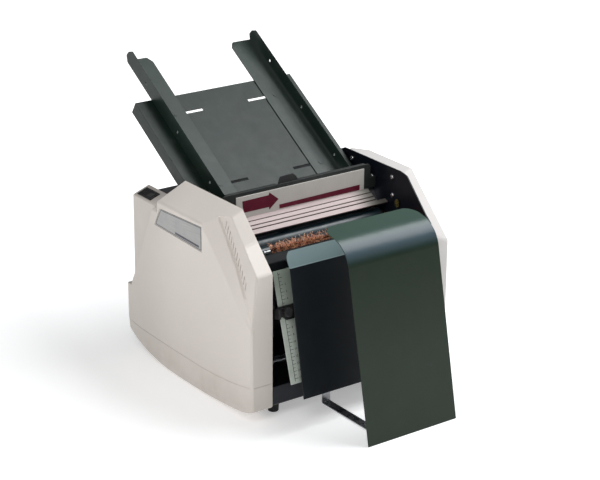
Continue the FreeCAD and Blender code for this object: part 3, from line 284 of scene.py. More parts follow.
# moulded casing: warm light grey, fine spark texture, faint clouding
f = Finish("CasingPlastic", 0.46, 0.0, 0.42)
CASE = rgb(219, 211, 204)
tone = speckled(f, CASE, 9.0, 1100.0, 0.018, 0.035)
xyz = f.parts()
low = f.span(xyz[2], 0.004, 0.075, 0.55, 0.0, True)
grime = f.calc("MULTIPLY", low, f.span(f.noise(38.0, 4, 0.6), 0.35, 0.7, 0.2, 1.0))
tone = f.mix(grime, tone, rgb(190, 179, 168))
scuff = f.span(f.noise(1.0, 3, 0.6, 0.3, f.scaled(40, 9, 160)), 0.66, 0.8, 0.0, 0.12)
tone = f.mix(scuff, tone, rgb(196, 189, 182))
# painted shade, its tones tuned to match: a little darker at the rear and along the front edge, where less
# light falls
painted_shade = f.calc("ADD", f.span(xyz[1], 0.03, 0.14, 0.0, 0.62, True),
              f.span(xyz[1], -0.1398, -0.1352, 0.68, 0.0, True))
painted_shade = f.calc("MULTIPLY", painted_shade, f.span(f.noise(12.0, 3, 0.6), 0.25, 0.75, 0.88, 1.0))
tone = f.mix(painted_shade, tone, rgb(193, 186, 178))
# painted shade, its tone tuned to match: the right cover is a little darker and cooler in tone than the left
# one
tone = f.mix(f.span(xyz[0], 0.120, 0.135, 0.0, 0.75), tone, rgb(196, 193, 192))
f.colour(tone)
f.gloss(f.noise(24.0, 3, 0.6), 0.40, 0.52)
f.bump(f.noise(1900.0, 2, 0.55), 0.00005, 0.7)
f.bump(f.noise(30.0, 2, 0.5), 0.0002, 0.25)
M["casing"] = f.m

M["frame_black"] = painted("FrameEnamel", rgb(15, 19, 29), 0.36, 0.32, 1500, 0.00005, 0.15, dust=0.015)
M["front_cross_plate"] = painted("CrossEnamel", rgb(7, 11, 14), 0.52, 0.10, 1500, 0.00005, 0.15, dust=0.01)
# the chute's two upper bands are painted light: a bluish painted reflection on the bend and a paler painted
# reflection on the flat top
M["chute_paint"] = painted("ChuteEnamel", rgb(12, 31, 13), 0.30, 0.34, 1300, 0.00004, 0.08,
                           rub=0.04, rub_axis=(130, 4, 4), dust=0.004,
                           painted_light_bands=((0.238, 0.258, rgb(34, 56, 66)), (0.262, 0.272, rgb(49, 71, 61))))
# the two bands on the inner plate's flange are a painted reflection: a paler teal tone above the flange's bend
M["inner_paint"] = painted("InnerEnamel", rgb(10, 17, 23), 0.38, 0.42, 1500, 0.00002, 0.10, speck=0.04,
                           rub=0.04, rub_axis=(160, 5, 5), dust=0.002,
                           painted_light_bands=((0.2196, 0.2204, rgb(128, 146, 148)),
                                  (0.2206, 0.2214, rgb(103, 121, 123))))
M["table_paint"] = painted("TableEnamel", rgb(20, 34, 28), 0.44, 0.32, 1000, 0.00009, 0.16,
                           rub=0.08, rub_axis=(150, 6, 6), turn=(0, 0, 0), dust=0.03)
M["guide_paint"] = painted("GuideEnamel", rgb(31, 45, 39), 0.42, 0.34, 1200, 0.00007, 0.14,
                           rub=0.06, rub_axis=(30, 60, 60), dust=0.025)
M["bar_paint"] = painted("BarEnamel", rgb(44, 47, 46), 0.40, 0.35, 1200, 0.00006, 0.14, dust=0.06)
M["pad_tab"] = painted("HolderEnamel", rgb(40, 40, 42), 0.38, 0.36, 1200, 0.00006, 0.14, dust=0.05)


def turned(name, c, rough, lines=1600.0, axis=0, vary=0.08, spec=0.5, depth=0.00002, metal=1.0,
           painted_light_bands=()):
    """Turned or drawn metal: fine lines round or along one axis, and optional painted shade bands above given
    heights.
    """
    f = Finish(name, rough, metal, spec)
    s = [18.0, 18.0, 18.0]
    s[axis] = lines
    ring = f.noise(1.0, 2, 0.5, 0.0, f.scaled(*s))
    tone = f.ramp(ring, [(0.3, shade(c, 1 - vary)), (0.7, shade(c, 1 + vary))])
    stain = f.span(f.noise(55.0, 4, 0.6), 0.5, 0.78, 0.0, 0.35)
    tone = f.mix(stain, tone, shade(c, 0.55))
    # painted shade: another, darker tone above a height
    for z0, z1, painted_tint in painted_light_bands:
        tone = f.mix(f.span(f.parts()[2], z0, z1, 0.0, 0.8, True), tone, painted_tint)
    f.colour(tone)
    f.gloss(f.noise(90.0, 3, 0.6), rough - 0.06, rough + 0.1)
    f.bump(ring, depth, 0.6)
    return f.m


M["steel"] = turned("GroundSteel", rgb(176, 178, 182), 0.26)
M["screw_steel"] = turned("ScrewSteel", rgb(222, 222, 224), 0.20, 2600, 0, 0.05)
M["bush_bronze"] = turned("OiliteBronze", rgb(150, 112, 66), 0.38, 1200, 0)
M["motor_can"] = turned("ZincCan", rgb(150, 152, 156), 0.40, 700, 0, 0.10)
# the ruler's upper part is painted shade: a darker tone above a height
M["ruler_metal"] = turned("RulerMetal", rgb(196, 204, 194), 0.42, 900, 2, 0.06, metal=0.35,
                          painted_light_bands=((0.150, 0.205, rgb(138, 150, 137)),))

# galvanised pan: spangled zinc
f = Finish("Galvanised", 0.42, 1.0, 0.5)
cell = f.cells(190.0)
spangle = f.ramp(cell, [(0.0, rgb(128, 130, 134)), (0.5, rgb(158, 160, 164)), (1.0, rgb(140, 142, 146))])
f.colour(f.mix(f.span(f.noise(22, 3, 0.6), 0.45, 0.8, 0, 0.4), spangle, rgb(112, 112, 112)))
f.gloss(cell, 0.34, 0.5)
f.bump(cell, 0.00004, 0.4)
M["galvanised"] = f.m

# bright ribbed guide bar: satin anodised ridges; the grooves are painted dark, as painted shade in the
# recesses
f = Finish("RibbedAluminium", 0.40, 0.12, 0.4)
p = f.parts()
# height above the line through the groove bottoms, across the bar's slope
above = f.calc("SUBTRACT", p[2], f.calc("ADD", f.calc("MULTIPLY", p[1], 0.5145), 0.241615))
RIBF = f
RIB_ABOVE = above
M["rib_metal"] = f.m

# label plate: warm grey, printed sheet under a thin clear film
f = Finish("LabelSheet", 0.40, 0.0, 0.45)
tone = speckled(f, rgb(198, 193, 187), 30.0, 1500.0, 0.03, 0.05)
p = f.parts()
streak = f.noise(1.0, 3, 0.5, 0.0, f.scaled(700, 60, 60))
tone = f.mix(f.span(streak, 0.45, 0.75, 0.0, 0.10), tone, rgb(150, 146, 142))
f.colour(tone)
f.gloss(f.noise(120, 2, 0.5), 0.32, 0.46)
f.bump(f.noise(400, 2, 0.5), 0.00003, 0.4)
M["label"] = f.m

f = Finish("PrintedBurgundy", 0.42, 0.0, 0.40)
tone = speckled(f, rgb(98, 22, 44), 60.0, 1800.0, 0.10, 0.16)
f.colour(f.mix(f.span(f.noise(160, 4, 0.7), 0.62, 0.75, 0, 0.25), tone, rgb(150, 96, 104)))
f.gloss(f.noise(160, 2, 0.5), 0.34, 0.5)
f.bump(f.noise(900, 2, 0.5), 0.00002, 0.4)
M["print_red"] = f.m

# bare nameplate: brushed along its length
f = Finish("BrushedPlate", 0.36, 0.75, 0.5)
brush = f.noise(1.0, 3, 0.6, 0.0, f.scaled(30, 30, 2600))
tone = f.ramp(brush, [(0.25, rgb(138, 138, 138)), (0.75, rgb(176, 175, 172))])
f.colour(f.mix(f.span(f.noise(40, 4, 0.6), 0.5, 0.8, 0, 0.3), tone, rgb(132, 132, 138)))
f.gloss(brush, 0.30, 0.44)
f.bump(brush, 0.00002, 0.6)
M["nameplate"] = f.m

f = Finish("PlateBorder", 0.40, 0.3, 0.4)
f.colour(speckled(f, rgb(70, 68, 78), 60.0, 1500.0, 0.12, 0.14))
f.gloss(f.noise(160, 2, 0.5), 0.30, 0.48)
M["plate_dark"] = f.m


def rubber(name, c, rough=0.62, lines=None, spec=0.3, chalk=0.18):
    f = Finish(name, rough, 0.0, spec)
    tone = speckled(f, c, 34.0, 1300.0, 0.14, 0.16)
    dusty = f.span(f.noise(80, 4, 0.7), 0.5, 0.8, 0.0, chalk)
    f.colour(f.mix(dusty, tone, rgb(120, 120, 118)))
    f.gloss(f.noise(120, 3, 0.6), rough - 0.06, rough + 0.10)
    if lines:
        f.bump(f.noise(1.0, 2, 0.6, 0.0, f.scaled(lines, 25, 25)), 0.00004, 0.5)
    f.bump(f.noise(1800, 2, 0.5), 0.00004, 0.5)
    return f.m


M["roller_rubber"] = rubber("RollerRubber", rgb(13, 35, 44), 0.34, 1500.0, 0.60, 0.01)
M["wheel_rubber"] = rubber("WheelRubber", rgb(52, 48, 46), 0.6, 1200.0)
M["pad_rubber"] = rubber("PadRubber", rgb(122, 62, 46), 0.7, 900.0)
M["foot_rubber"] = rubber("FootRubber", rgb(24, 24, 26), 0.66)
M["belt_rubber"] = rubber("BeltRubber", rgb(30, 30, 32), 0.6, 1600.0)


def moulded(name, c, rough=0.42, texture=1500.0, spec=0.45, depth=0.00004):
    f = Finish(name, rough, 0.0, spec)
    tone = speckled(f, c, 30.0, 1500.0, 0.07, 0.08)
    dusty = f.span(f.noise(70, 4, 0.7), 0.5, 0.8, 0.0, 0.08)
    f.colour(f.mix(dusty, tone, rgb(165, 160, 150)))
    f.gloss(f.noise(90, 3, 0.6), rough - 0.08, rough + 0.1)
    f.bump(f.noise(texture, 2, 0.5), depth, 0.7)
    return f.m


M["gear_plastic"] = moulded("GearAcetal", rgb(222, 218, 205), 0.38)
M["pulley_plastic"] = moulded("PulleyNylon", rgb(44, 44, 46), 0.42)
M["black_plastic"] = moulded("BlackPlastic", rgb(24, 24, 26), 0.44)
M["switch_black"] = moulded("SwitchPlastic", rgb(14, 14, 16), 0.26, 900, 0.5, 0.00002)
M["bezel"] = moulded("BezelPlastic", rgb(84, 84, 88), 0.34, 900, 0.5, 0.00002)


def strand(name, a, b, rough, metal):
    f = Finish(name, rough, metal, 0.5)
    fine = f.noise(420.0, 3, 0.6)
    f.colour(f.ramp(fine, [(0.3, a), (0.7, b)]))
    f.gloss(f.noise(300, 2, 0.5), rough - 0.08, rough + 0.14)
    f.bump(f.noise(1500, 2, 0.5), 0.00003, 0.5)
    return f.m


M["tinsel"] = strand("TinselCopper", rgb(228, 146, 98), rgb(250, 200, 166), 0.34, 0.25)
M["tinsel_brown"] = strand("TinselBrown", rgb(160, 96, 72), rgb(206, 146, 120), 0.45, 0.2)
M["tinsel_olive"] = strand("TinselOlive", rgb(118, 108, 50), rgb(176, 160, 84), 0.38, 0.5)
M["tinsel_dark"] = strand("TinselDark", rgb(40, 28, 24), rgb(86, 66, 48), 0.55, 0.3)
M["grip"] = turned("GripMetal", rgb(168, 170, 170), 0.30, 1800, 0, 0.08)

f = Finish("TickEnamel", 0.5, 0.0, 0.4)
f.colour(speckled(f, rgb(28, 34, 30), 60.0, 1600.0, 0.12, 0.16))
f.gloss(f.noise(200, 2, 0.5), 0.4, 0.6)
M["ticks"] = f.m

# the floor glows: painted light, weaker close to the machine and stronger further out
f = Finish("FloorPaintGlow", 0.6, 0.0, 0.2)
f.colour(speckled(f, (0.86, 0.86, 0.86, 1), 1.5, 40.0, 0.01, 0.01))
f.b.inputs["Emission Color"].default_value = (1, 1, 1, 1)
fx = f.parts()
reach = f.calc("SQRT", f.calc("ADD", f.calc("MULTIPLY", fx[0], fx[0]), f.calc("MULTIPLY", fx[1], fx[1])))
f.link(f.span(reach, 0.3, 1.2, 0.36, 0.80, True), f.b.inputs["Emission Strength"])
floor_mesh.materials.append(f.m)

# finish of the ribbed bar: ridge bright, groove painted dark as painted shade, ends a little greenish
ridge = RIBF.span(RIB_ABOVE, 0.0017, 0.0024, 0.0, 1.0)
bright = speckled(RIBF, rgb(169, 153, 151), 40.0, 1500.0, 0.03, 0.04)
end_x = RIBF.parts()[0]
fade = RIBF.span(end_x, 0.088, 0.124, 0.0, 0.75, True)
bright = RIBF.mix(fade, bright, rgb(70, 78, 66))
RIBF.colour(RIBF.mix(ridge, rgb(58, 44, 40), bright))
RIBF.gloss(RIBF.noise(1.0, 2, 0.5, 0.0, RIBF.scaled(20, 900, 900)), 0.36, 0.48)
RIBF.bump(RIBF.noise(1.0, 2, 0.5, 0.0, RIBF.scaled(12, 2400, 2400)), 0.00002, 0.6)


# ------------------------------------------------------------ mesh helpers
def clean(node, flat=0.35):
    """A welded copy of a CAD node's mesh, with its flat faces joined."""
    src = NODES[node].data
    bm = bmesh.new()
    vs = [bm.verts.new(v.co) for v in src.vertices]
    for poly in src.polygons:
        try:
            bm.faces.new([vs[i] for i in poly.vertices])
        except ValueError:
            pass
    bmesh.ops.remove_doubles(bm, verts=bm.verts, dist=1e-5)
    bmesh.ops.dissolve_degenerate(bm, dist=1e-6, edges=bm.edges)
    if flat:
        bmesh.ops.dissolve_limit(bm, angle_limit=math.radians(flat), use_dissolve_boundaries=False,
                                 verts=bm.verts, edges=bm.edges)
    return bm


def piece(name, bm, finish, body, stands_for=(), smooth=True):
    me = bpy.data.meshes.new(name)
    if smooth:
        for fc in bm.faces:
            fc.smooth = True
    bm.to_mesh(me)
    bm.free()
    me.materials.append(finish)
    ob = bpy.data.objects.new(name, me)
    scene.collection.objects.link(ob)
    bpy.context.view_layer.update()
    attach(ob, body)
    if stands_for:
        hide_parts(*stands_for)
    return ob


def rounded_edges(ob, width, segments=2, angle=28.0, weighted=False):
    b = ob.modifiers.new("Round", "BEVEL")
    b.width = width
    b.segments = segments
    b.use_clamp_overlap = False
    b.limit_method = "WEIGHT" if weighted else "ANGLE"
    b.angle_limit = math.radians(angle)
    n = ob.modifiers.new("Normals", "WEIGHTED_NORMAL")
    n.keep_sharp = True
    n.weight = 80


def softened(node, width, segments=2, angle=28.0, finish=None):
    bm = clean(node, 0.0 if node in PIERCED else 0.35)
    if node in PIERCED:
        # round the long edges only; punched holes and bend ends stay crisp
        weight = bm.edges.layers.float.new("bevel_weight_edge")
        for e in bm.edges:
            bend = math.degrees(e.calc_face_angle(0.0)) if len(e.link_faces) == 2 else 0.0
            if bend > 60.0 and e.calc_length() > 0.003:
                e[weight] = 1.0
            elif bend > 50.0:
                e.smooth = False
    corners = [(min(v.co[k] for v in bm.verts), max(v.co[k] for v in bm.verts)) for k in range(3)]
    ob = piece(node + "_finish", bm, finish or M.get(node, M[SLOT[node]]), BODY[node], (node,))
    rounded_edges(ob, width * 0.001, segments, angle, node in PIERCED)
    # no rounding may carry a point outside the piece's own box
    for step in (1, 2):
        dg = bpy.context.evaluated_depsgraph_get()
        dg.update()
        me = ob.evaluated_get(dg).to_mesh()
        over = max(max(corners[k][0] - min(v.co[k] for v in me.vertices),
                       max(v.co[k] for v in me.vertices) - corners[k][1]) for k in range(3))
        ob.evaluated_get(dg).to_mesh_clear()
        if over < 0.00005:
            break
        if step == 1:
            ob.modifiers["Round"].use_clamp_overlap = True
        else:
            ob.modifiers.remove(ob.modifiers["Round"])
    return ob


# nodes whose flat faces have holes or studs in them keep the mesh as it comes
PIERCED = ("left_paper_guide", "right_paper_guide", "feed_table", "front_fold_stop")


# ------------------------------------------------------------- side covers
LOWER = [(20.0, 13.0), (36.0, 6.2), (65.0, 1.8), (108.0, -1.6), (148.0, -3.4), (214.0, -3.6),
         (254.0, -1.0), (295.0, 7.0), (323.0, 18.0), (338.0, 27.0)]
POSTS = [(215.4, 263.9), (166.9, 249.4), (120.5, 261.0), (118.3, 234.2), (60.0, 60.0),
         (300.0, 60.0), (300.0, 205.0)]


def flowing(points, steps=3):
    """Smooth open line through (y, z) points."""
    out = []
    n = len(points)
    for i in range(n - 1):
        p = [Vector(points[max(0, min(n - 1, i + k))]) for k in (-1, 0, 1, 2)]
        for j in range(steps):
            t = j / steps
            out.append(tuple(0.5 * (2 * p[1] + (p[2] - p[0]) * t
                                    + (2 * p[0] - 5 * p[1] + 4 * p[2] - p[3]) * t * t
                                    + (3 * p[1] - p[0] - 3 * p[2] + p[3]) * t ** 3)))
    out.append(tuple(points[-1]))
    return out


class Skin:
    """Outer skin from named corners; an edge may carry a rounding width."""

    def __init__(self):
        self.bm = bmesh.new()
        self.v = {}
        self.w = {}

    def at(self, name, x, y, z):
        self.v[name] = self.bm.verts.new(D(x, y, z))

    def face(self, *names):
        self.bm.faces.new([self.v[n] for n in names])

    def soft(self, width, *names):
        for p, q in zip(names, names[1:]):
            self.w[frozenset((self.v[p], self.v[q]))] = width


def cutter(name, points, axis, lo, hi):
    """A closed prism to cut with; points are its outline, axis its length."""
    bm = bmesh.new()
    rows = []
    for t in (lo, hi):
        row = []
        for p, q in points:
            c = (t, p, q) if axis == "x" else (p, q, t)
            row.append(bm.verts.new(D(*c)))
        rows.append(row)
    n = len(points)
    bm.faces.new(rows[0])
    bm.faces.new(rows[1][::-1])
    for i in range(n):
        bm.faces.new([rows[0][i], rows[1][i], rows[1][(i + 1) % n], rows[0][(i + 1) % n]])
    bmesh.ops.recalc_face_normals(bm, faces=bm.faces)
    me = bpy.data.meshes.new(name)
    bm.to_mesh(me)
    bm.free()
    ob = bpy.data.objects.new(name, me)
    scene.collection.objects.link(ob)
    return ob


def drawn_back(bm, tree):
    """Points that rounding has thrown off the edges of a skin go back to it."""
    for v in bm.verts:
        near, normal, _, far = tree.find_nearest(v.co)
        if far > 0.00012 and abs((v.co - near).normalized().dot(normal)) < 0.985:
            v.co = near
    bmesh.ops.remove_doubles(bm, verts=bm.verts, dist=2e-6)
    bmesh.ops.dissolve_degenerate(bm, dist=1e-6, edges=bm.edges)


def finish_shell(bm, widths, name, node, cutters, inward, posts, big=4.5):
    """Round, thicken and cut a skin; the result stands for the CAD cover."""
    bmesh.ops.recalc_face_normals(bm, faces=bm.faces)
    bm.normal_update()
    # the skin is open on one side, so check which way it looks
    probe = max(bm.faces, key=lambda fc: fc.calc_area())
    if probe.normal.x * inward > 0:
        bmesh.ops.reverse_faces(bm, faces=bm.faces)
    weight = bm.edges.layers.float.new("bevel_weight_edge")
    for e in bm.edges:
        if len(e.link_faces) != 2:
            continue
        w = widths.get(frozenset(e.verts))
        if w is None:
            w = 3.0 if math.degrees(e.calc_face_angle_signed(0.0)) > 20 else 0.0
        e[weight] = w / big
    me = bpy.data.meshes.new(name + "_skin")
    tree = BVHTree.FromBMesh(bm)
    bm.to_mesh(me)
    bm.free()
    ob = bpy.data.objects.new(name + "_skin", me)
    scene.collection.objects.link(ob)
    m = ob.modifiers.new("Round", "BEVEL")
    m.width, m.segments, m.limit_method = big * 0.001, 4, "WEIGHT"
    m.use_clamp_overlap = False
    dg = bpy.context.evaluated_depsgraph_get()
    dg.update()
    rounded = bpy.data.meshes.new_from_object(ob.evaluated_get(dg))
    bm = bmesh.new()
    bm.from_mesh(rounded)
    drawn_back(bm, tree)
    tree = BVHTree.FromBMesh(bm)
    bm.to_mesh(rounded)
    bm.free()
    ob.modifiers.clear()
    ob.data = rounded
    m = ob.modifiers.new("Wall", "SOLIDIFY")
    m.thickness, m.offset, m.use_even_offset = 0.0025, -1.0, True
    m = ob.modifiers.new("Rim", "BEVEL")
    m.width, m.segments, m.limit_method = 0.0006, 2, "ANGLE"
    m.angle_limit = math.radians(55)
    m.use_clamp_overlap = False
    for k, c in enumerate(cutters):
        m = ob.modifiers.new("Cut%d" % k, "BOOLEAN")
        m.object, m.operation, m.solver = c, "DIFFERENCE", "EXACT"
    dg = bpy.context.evaluated_depsgraph_get()
    dg.update()
    done = bpy.data.meshes.new_from_object(ob.evaluated_get(dg))
    bm = bmesh.new()
    bm.from_mesh(done)
    bpy.data.meshes.remove(done)
    bpy.data.objects.remove(ob)
    for c in cutters:
        bpy.data.objects.remove(c)
    # nothing of the wall may stand out of the rounded skin or the cover's box
    for v in bm.verts:
        near, normal, _, far = tree.find_nearest(v.co)
        if (v.co - near).dot(normal) > 0.00006:
            v.co = near
    bmesh.ops.dissolve_degenerate(bm, dist=1e-6, edges=bm.edges)
    box = [v.co for v in NODES[node].data.vertices]
    for k in range(3):
        lo_k, hi_k = min(c[k] for c in box), max(c[k] for c in box)
        for v in bm.verts:
            v.co[k] = min(max(v.co[k], lo_k), hi_k)
    # posts for the screws, inside the shell
    for y, z, x0, x1 in posts:
        rings = []
        for x, r in ((x0, 2.0), (x0, 5.0), (x1, 5.0), (x1, 2.0)):
            rings.append([bm.verts.new(D(x, y + r * math.cos(k * math.pi / 12),
                                         z + r * math.sin(k * math.pi / 12))) for k in range(24)])
        made = []
        for u in range(4):
            for k in range(24):
                made.append(bm.faces.new([rings[u][k], rings[(u + 1) % 4][k],
                                          rings[(u + 1) % 4][(k + 1) % 24], rings[u][(k + 1) % 24]]))
        bmesh.ops.recalc_face_normals(bm, faces=made)
    bm.normal_update()
    for e in bm.edges:
        if len(e.link_faces) == 2 and e.calc_face_angle(0.0) > math.radians(38):
            e.smooth = False
    ob = piece(name, bm, M["casing"], BODY[node], (node,))
    n = ob.modifiers.new("Normals", "WEIGHTED_NORMAL")
    n.keep_sharp = True
    n.weight = 80
    return ob


# left cover, deep, with its folded hood
k = Skin()
OX, RX = -176.0, -141.5
low = flowing([(18.6, 13.0)] + LOWER[1:])
for i, (y, z) in enumerate(low):
    k.at("s%d" % i, OX, y, z)
    k.at("t%d" % i, RX, y, z)
N = len(low) - 1
for name, p in {
    "a1": (OX, 341, 48), "b1": (RX, 341, 48), "a2": (OX, 341, 98), "b2": (RX, 341, 98),
    "i1": (OX, 330, 98), "i2": (OX, 300, 160), "B": (OX, 268.5, 233.1), "A": (OX, 253.6, 233.1),
    "H": (OX, 253.6, 250), "p1": (OX, 142, 250), "p2": (OX, 79.5, 188), "p3": (OX, 38, 146.8),
    "p4": (OX, 18.6, 127.6), "j1": (-168, 330, 98), "j2": (-168, 300, 160),
    "C": (-168, 267.2, 236.0), "Dd": (-168, 332.5, 236.0), "r1": (-168, 332.5, 98),
    "r2": (RX, 332.5, 98), "E": (RX, 332.5, 245.5), "F": (RX, 233.9, 245.5),
    "G": (RX, 233.9, 279.5), "P": (RX, 89.5, 279.5),
    "q1": (-160.5, 122.9, 263.25), "q2": (-169.6, 68.8, 211.6), "q3": (-174.2, 38.5, 170.5),
    "q4": (-175.8, 18.6, 131.6),
    "u1": (-157.6, 119.5, 262.2), "u2": (-165.8, 66.4, 208.0), "u3": (-171.6, 36.0, 172.0),
    "u4": (-174.3, 18.6, 136.6),
    "Q": (-154.5, 97.5, 268.4), "w2": (-160.6, 58.0, 238.0), "w4": (-167.0, 18.6, 208.1),
    "e2": (RX, 54.0, 244.0), "e4": (RX, 18.6, 208.5),
}.items():
    k.at(name, *p)
k.face(*(["s%d" % i for i in range(N + 1)] + ["a1", "a2", "i1", "i2", "B", "A", "H", "p1", "p2",
                                              "p3", "p4"]))
for i in range(N):
    k.face("s%d" % i, "t%d" % i, "t%d" % (i + 1), "s%d" % (i + 1))
k.face("s%d" % N, "t%d" % N, "b1", "a1")
k.face("a1", "b1", "b2", "a2")
k.face("a2", "b2", "r2", "r1", "j1", "i1")
k.face("i1", "j1", "j2", "i2")
k.face("i2", "j2", "C", "B")
k.face("j1", "r1", "Dd", "C", "j2")
k.face("r1", "r2", "E", "Dd")
k.face("A", "B", "C", "Dd", "E", "F")
k.face("A", "F", "G", "H")
k.face("H", "G", "P", "Q", "q1", "p1")
for i in (1, 2, 3):
    k.face("p%d" % i, "q%d" % i, "q%d" % (i + 1), "p%d" % (i + 1))
    k.face("q%d" % i, "u%d" % i, "u%d" % (i + 1), "q%d" % (i + 1))
k.face("q1", "Q", "u1")
k.face("u1", "Q", "w2", "u2")
k.face("u2", "w2", "w4", "u3")
k.face("u3", "w4", "u4")
k.face("Q", "P", "e2", "w2")
k.face("w2", "e2", "e4", "w4")
k.face("s0", "p4", "q4", "u4", "w4", "e4", "t0")
k.soft(4.5, "s0", "p4")
k.soft(2.4, "p1", "p2", "p3")
k.soft(1.4, "p3", "p4")
k.soft(1.1, "q1", "q2", "q3")
k.soft(0.7, "q3", "q4")
k.soft(0.0, "u1", "u2", "u3", "u4")
k.soft(0.0, "u1", "Q")
k.soft(0.0, "q1", "u1")
k.soft(0.6, "q1", "Q")
k.soft(1.8, "Q", "w2", "w4")
k.soft(0.0, "p4", "q4", "u4")
k.soft(2.0, "u4", "w4")
k.soft(2.6, "w4", "e4")
k.soft(2.6, "Q", "P")
k.soft(1.0, "A", "H")
k.soft(0.0, "A", "F")
k.soft(1.2, "A", "B")
k.soft(0.0, "i1", "j1", "r1", "r2")
k.soft(0.0, "i1", "a2", "b2")
k.soft(0.0, "j1", "j2", "C")
k.soft(1.6, "i1", "i2", "B")
k.soft(2.4, "C", "Dd")
k.soft(1.2, "B", "C")
k.soft(2.4, "Dd", "r1")
L3 = [(119.5, 262.2, -157.6), (66.4, 208.0, -165.8), (36.0, 172.0, -171.6), (18.6, 136.6, -174.3)]
cuts = [cutter("RecessCut", [(245.5, 241.0), (138.7, 246.0), (138.2, 209.0), (260.5, 212.5)],
               "x", -178.0, -175.0),
        cutter("SwitchCut", [(-163.9, 290.9), (-148.3, 290.9), (-148.3, 323.3), (-163.9, 323.3)],
               "z", 215.0, 260.0)]
seam = [(17.0, 49.0), (64.0, 41.0), (108.0, 36.5), (147.0, 35.0), (214.0, 35.0), (300.0, 36.5),
        (336.0, 40.0)]
cuts.append(cutter("SeamCut", seam + [(y, z + 0.8) for y, z in seam[::-1]], "x", -178.0, -175.5))
cuts.append(cutter("FrontSeamCut", [(-178.0, 17.9), (-136.0, 17.9), (-136.0, 19.1), (-178.0, 19.1)],
                   "z", 48.8, 49.6))
for j in range(12):
    y = 42.0 + 5.6 * j
    for (ya, za, xa), (yb, zb, xb) in zip(L3, L3[1:]):
        if yb <= y <= ya:
            t = (y - yb) / (ya - yb)
            z3, x3 = zb + (za - zb) * t, xb + (xa - xb) * t
    cuts.append(cutter("SlotCut%d" % j, [(y, z3 + 3.5), (y + 1.5, z3 + 4.9), (y + 1.5, z3 + 15.9),
                                         (y, z3 + 14.5)], "x", x3 - 4.0, x3 + 14.0))
posts = []
for y, z in POSTS:
    reach = {(300.0, 205.0): -166.6, (118.3, 234.2): -166.0, (120.5, 261.0): -154.0,
             (166.9, 249.4): -168.0, (215.4, 263.9): -154.0}.get((y, z), -174.6)
    posts.append((y, z, RX, reach))
finish_shell(k.bm, k.w, "left_cover_shell", "left_cover", cuts, 1, posts)

# right cover, shallow, with a front slope that leans outwards a little
k = Skin()
OX, RX = 165.2, 141.5
low = flowing([(20.0, 13.0)] + LOWER[1:])
for i, (y, z) in enumerate(low):
    k.at("s%d" % i, OX, y, z)
    k.at("t%d" % i, RX, y, z)
N = len(low) - 1
PROFILE = [(341, 48), (341, 98.5), (332.5, 98.5), (331, 238), (262, 245), (247, 267), (205, 275)]
for i, (y, z) in enumerate(PROFILE):
    k.at("c%d" % i, OX, y, z)
    k.at("d%d" % i, RX, y, z)
k.at("m1", OX, 106.9, 274.1)
k.at("n1", RX, 94.8, 274.0)
k.at("m2", OX, 20.0, 188.9)
k.at("n2", RX, 20.0, 200.6)
k.face(*(["s%d" % i for i in range(N + 1)] + ["c%d" % i for i in range(7)] + ["m1", "m2"]))
for i in range(N):
    k.face("s%d" % i, "s%d" % (i + 1), "t%d" % (i + 1), "t%d" % i)
k.face("s%d" % N, "c0", "d0", "t%d" % N)
for i in range(6):
    k.face("c%d" % i, "c%d" % (i + 1), "d%d" % (i + 1), "d%d" % i)
k.face("c6", "m1", "n1", "d6")
k.face("m1", "m2", "n2", "n1")
k.face("m2", "s0", "t0", "n2")
k.soft(0.0, "c1", "d1")
k.soft(0.0, "c2", "d2")
k.soft(0.0, "c4", "d4")
k.soft(4.0, "m2", "s0")
k.soft(1.8, "c1", "c2")
k.soft(1.8, "c2", "c3")
finish_shell(k.bm, k.w, "right_cover_shell", "right_cover", [], -1,
             [(y, z, RX, 163.6 if y > 130 or z < 200 else 152.0) for y, z in POSTS])

# --------------------------------------------- softened copies of CAD nodes
ROUND = {
    "left_side_frame": 0.3, "right_side_frame": 0.3, "base_pan": 0.3, "rear_panel": 0.3,
    "power_inlet": 0.3, "feed_table": 0.25, "left_paper_guide": 0.2, "right_paper_guide": 0.2,
    "separator_bar": 0.35, "separator_holder": 0.4, "label_plate": 0.25, "ribbed_bar": 0.18,
    "front_cross_plate": 0.35, "outer_chute": 0.3, "inner_chute_plate": 0.3,
    "chute_straps": 0.3, "front_table_front_plate": 0.25, "front_table_back_plate": 0.25,
    "front_fold_stop": 0.4, "stop_knob": 0.35, "nameplate": 0.2, "switch_housing": 0.3,
    "rocker_switch": 0.5, "rubber_feet": 1.0, "main_roller_cover": 0.6, "rear_roller_cover": 0.6,
    "lower_roller_cover": 0.6, "front_roller_cover": 0.5, "feed_wheels": 0.6,
    "left_guide_nuts": 0.4, "right_guide_nuts": 0.4, "turn_guide": 0.25, "tie_rods": 0.4,
    "motor": 0.5, "motor_bracket": 0.3, "rear_fold_stop": 0.3, "separator_pad": 0.4,
}
for node_name, width in ROUND.items():
    softened(node_name, width)

for node_name, ob in NODES.items():
    if node_name in ROUND or node_name in ("left_cover", "right_cover", "frame_screws",
                                           "static_brush"):
        continue
    want = M[SLOT[node_name]]
    if len(ob.material_slots) == 0:
        ob.data.materials.append(want)
    for s in ob.material_slots:
        s.material = want


# ------------------------------------------------------------ label plate art
def flat_art(name, outline, y_front, thick, finish, body, gap=0.02):
    """A thin printed shape standing just proud of an upright face."""
    bm = bmesh.new()
    rows = [[bm.verts.new(D(x, y, z)) for x, z in outline]
            for y in (y_front - gap - thick, y_front - gap + 0.02)]
    bm.faces.new(rows[0])
    bm.faces.new(rows[1][::-1])
    n = len(outline)
    for i in range(n):
        bm.faces.new([rows[0][i], rows[1][i], rows[1][(i + 1) % n], rows[0][(i + 1) % n]])
    bmesh.ops.recalc_face_normals(bm, faces=bm.faces)
    return piece(name, bm, finish, body, smooth=False)


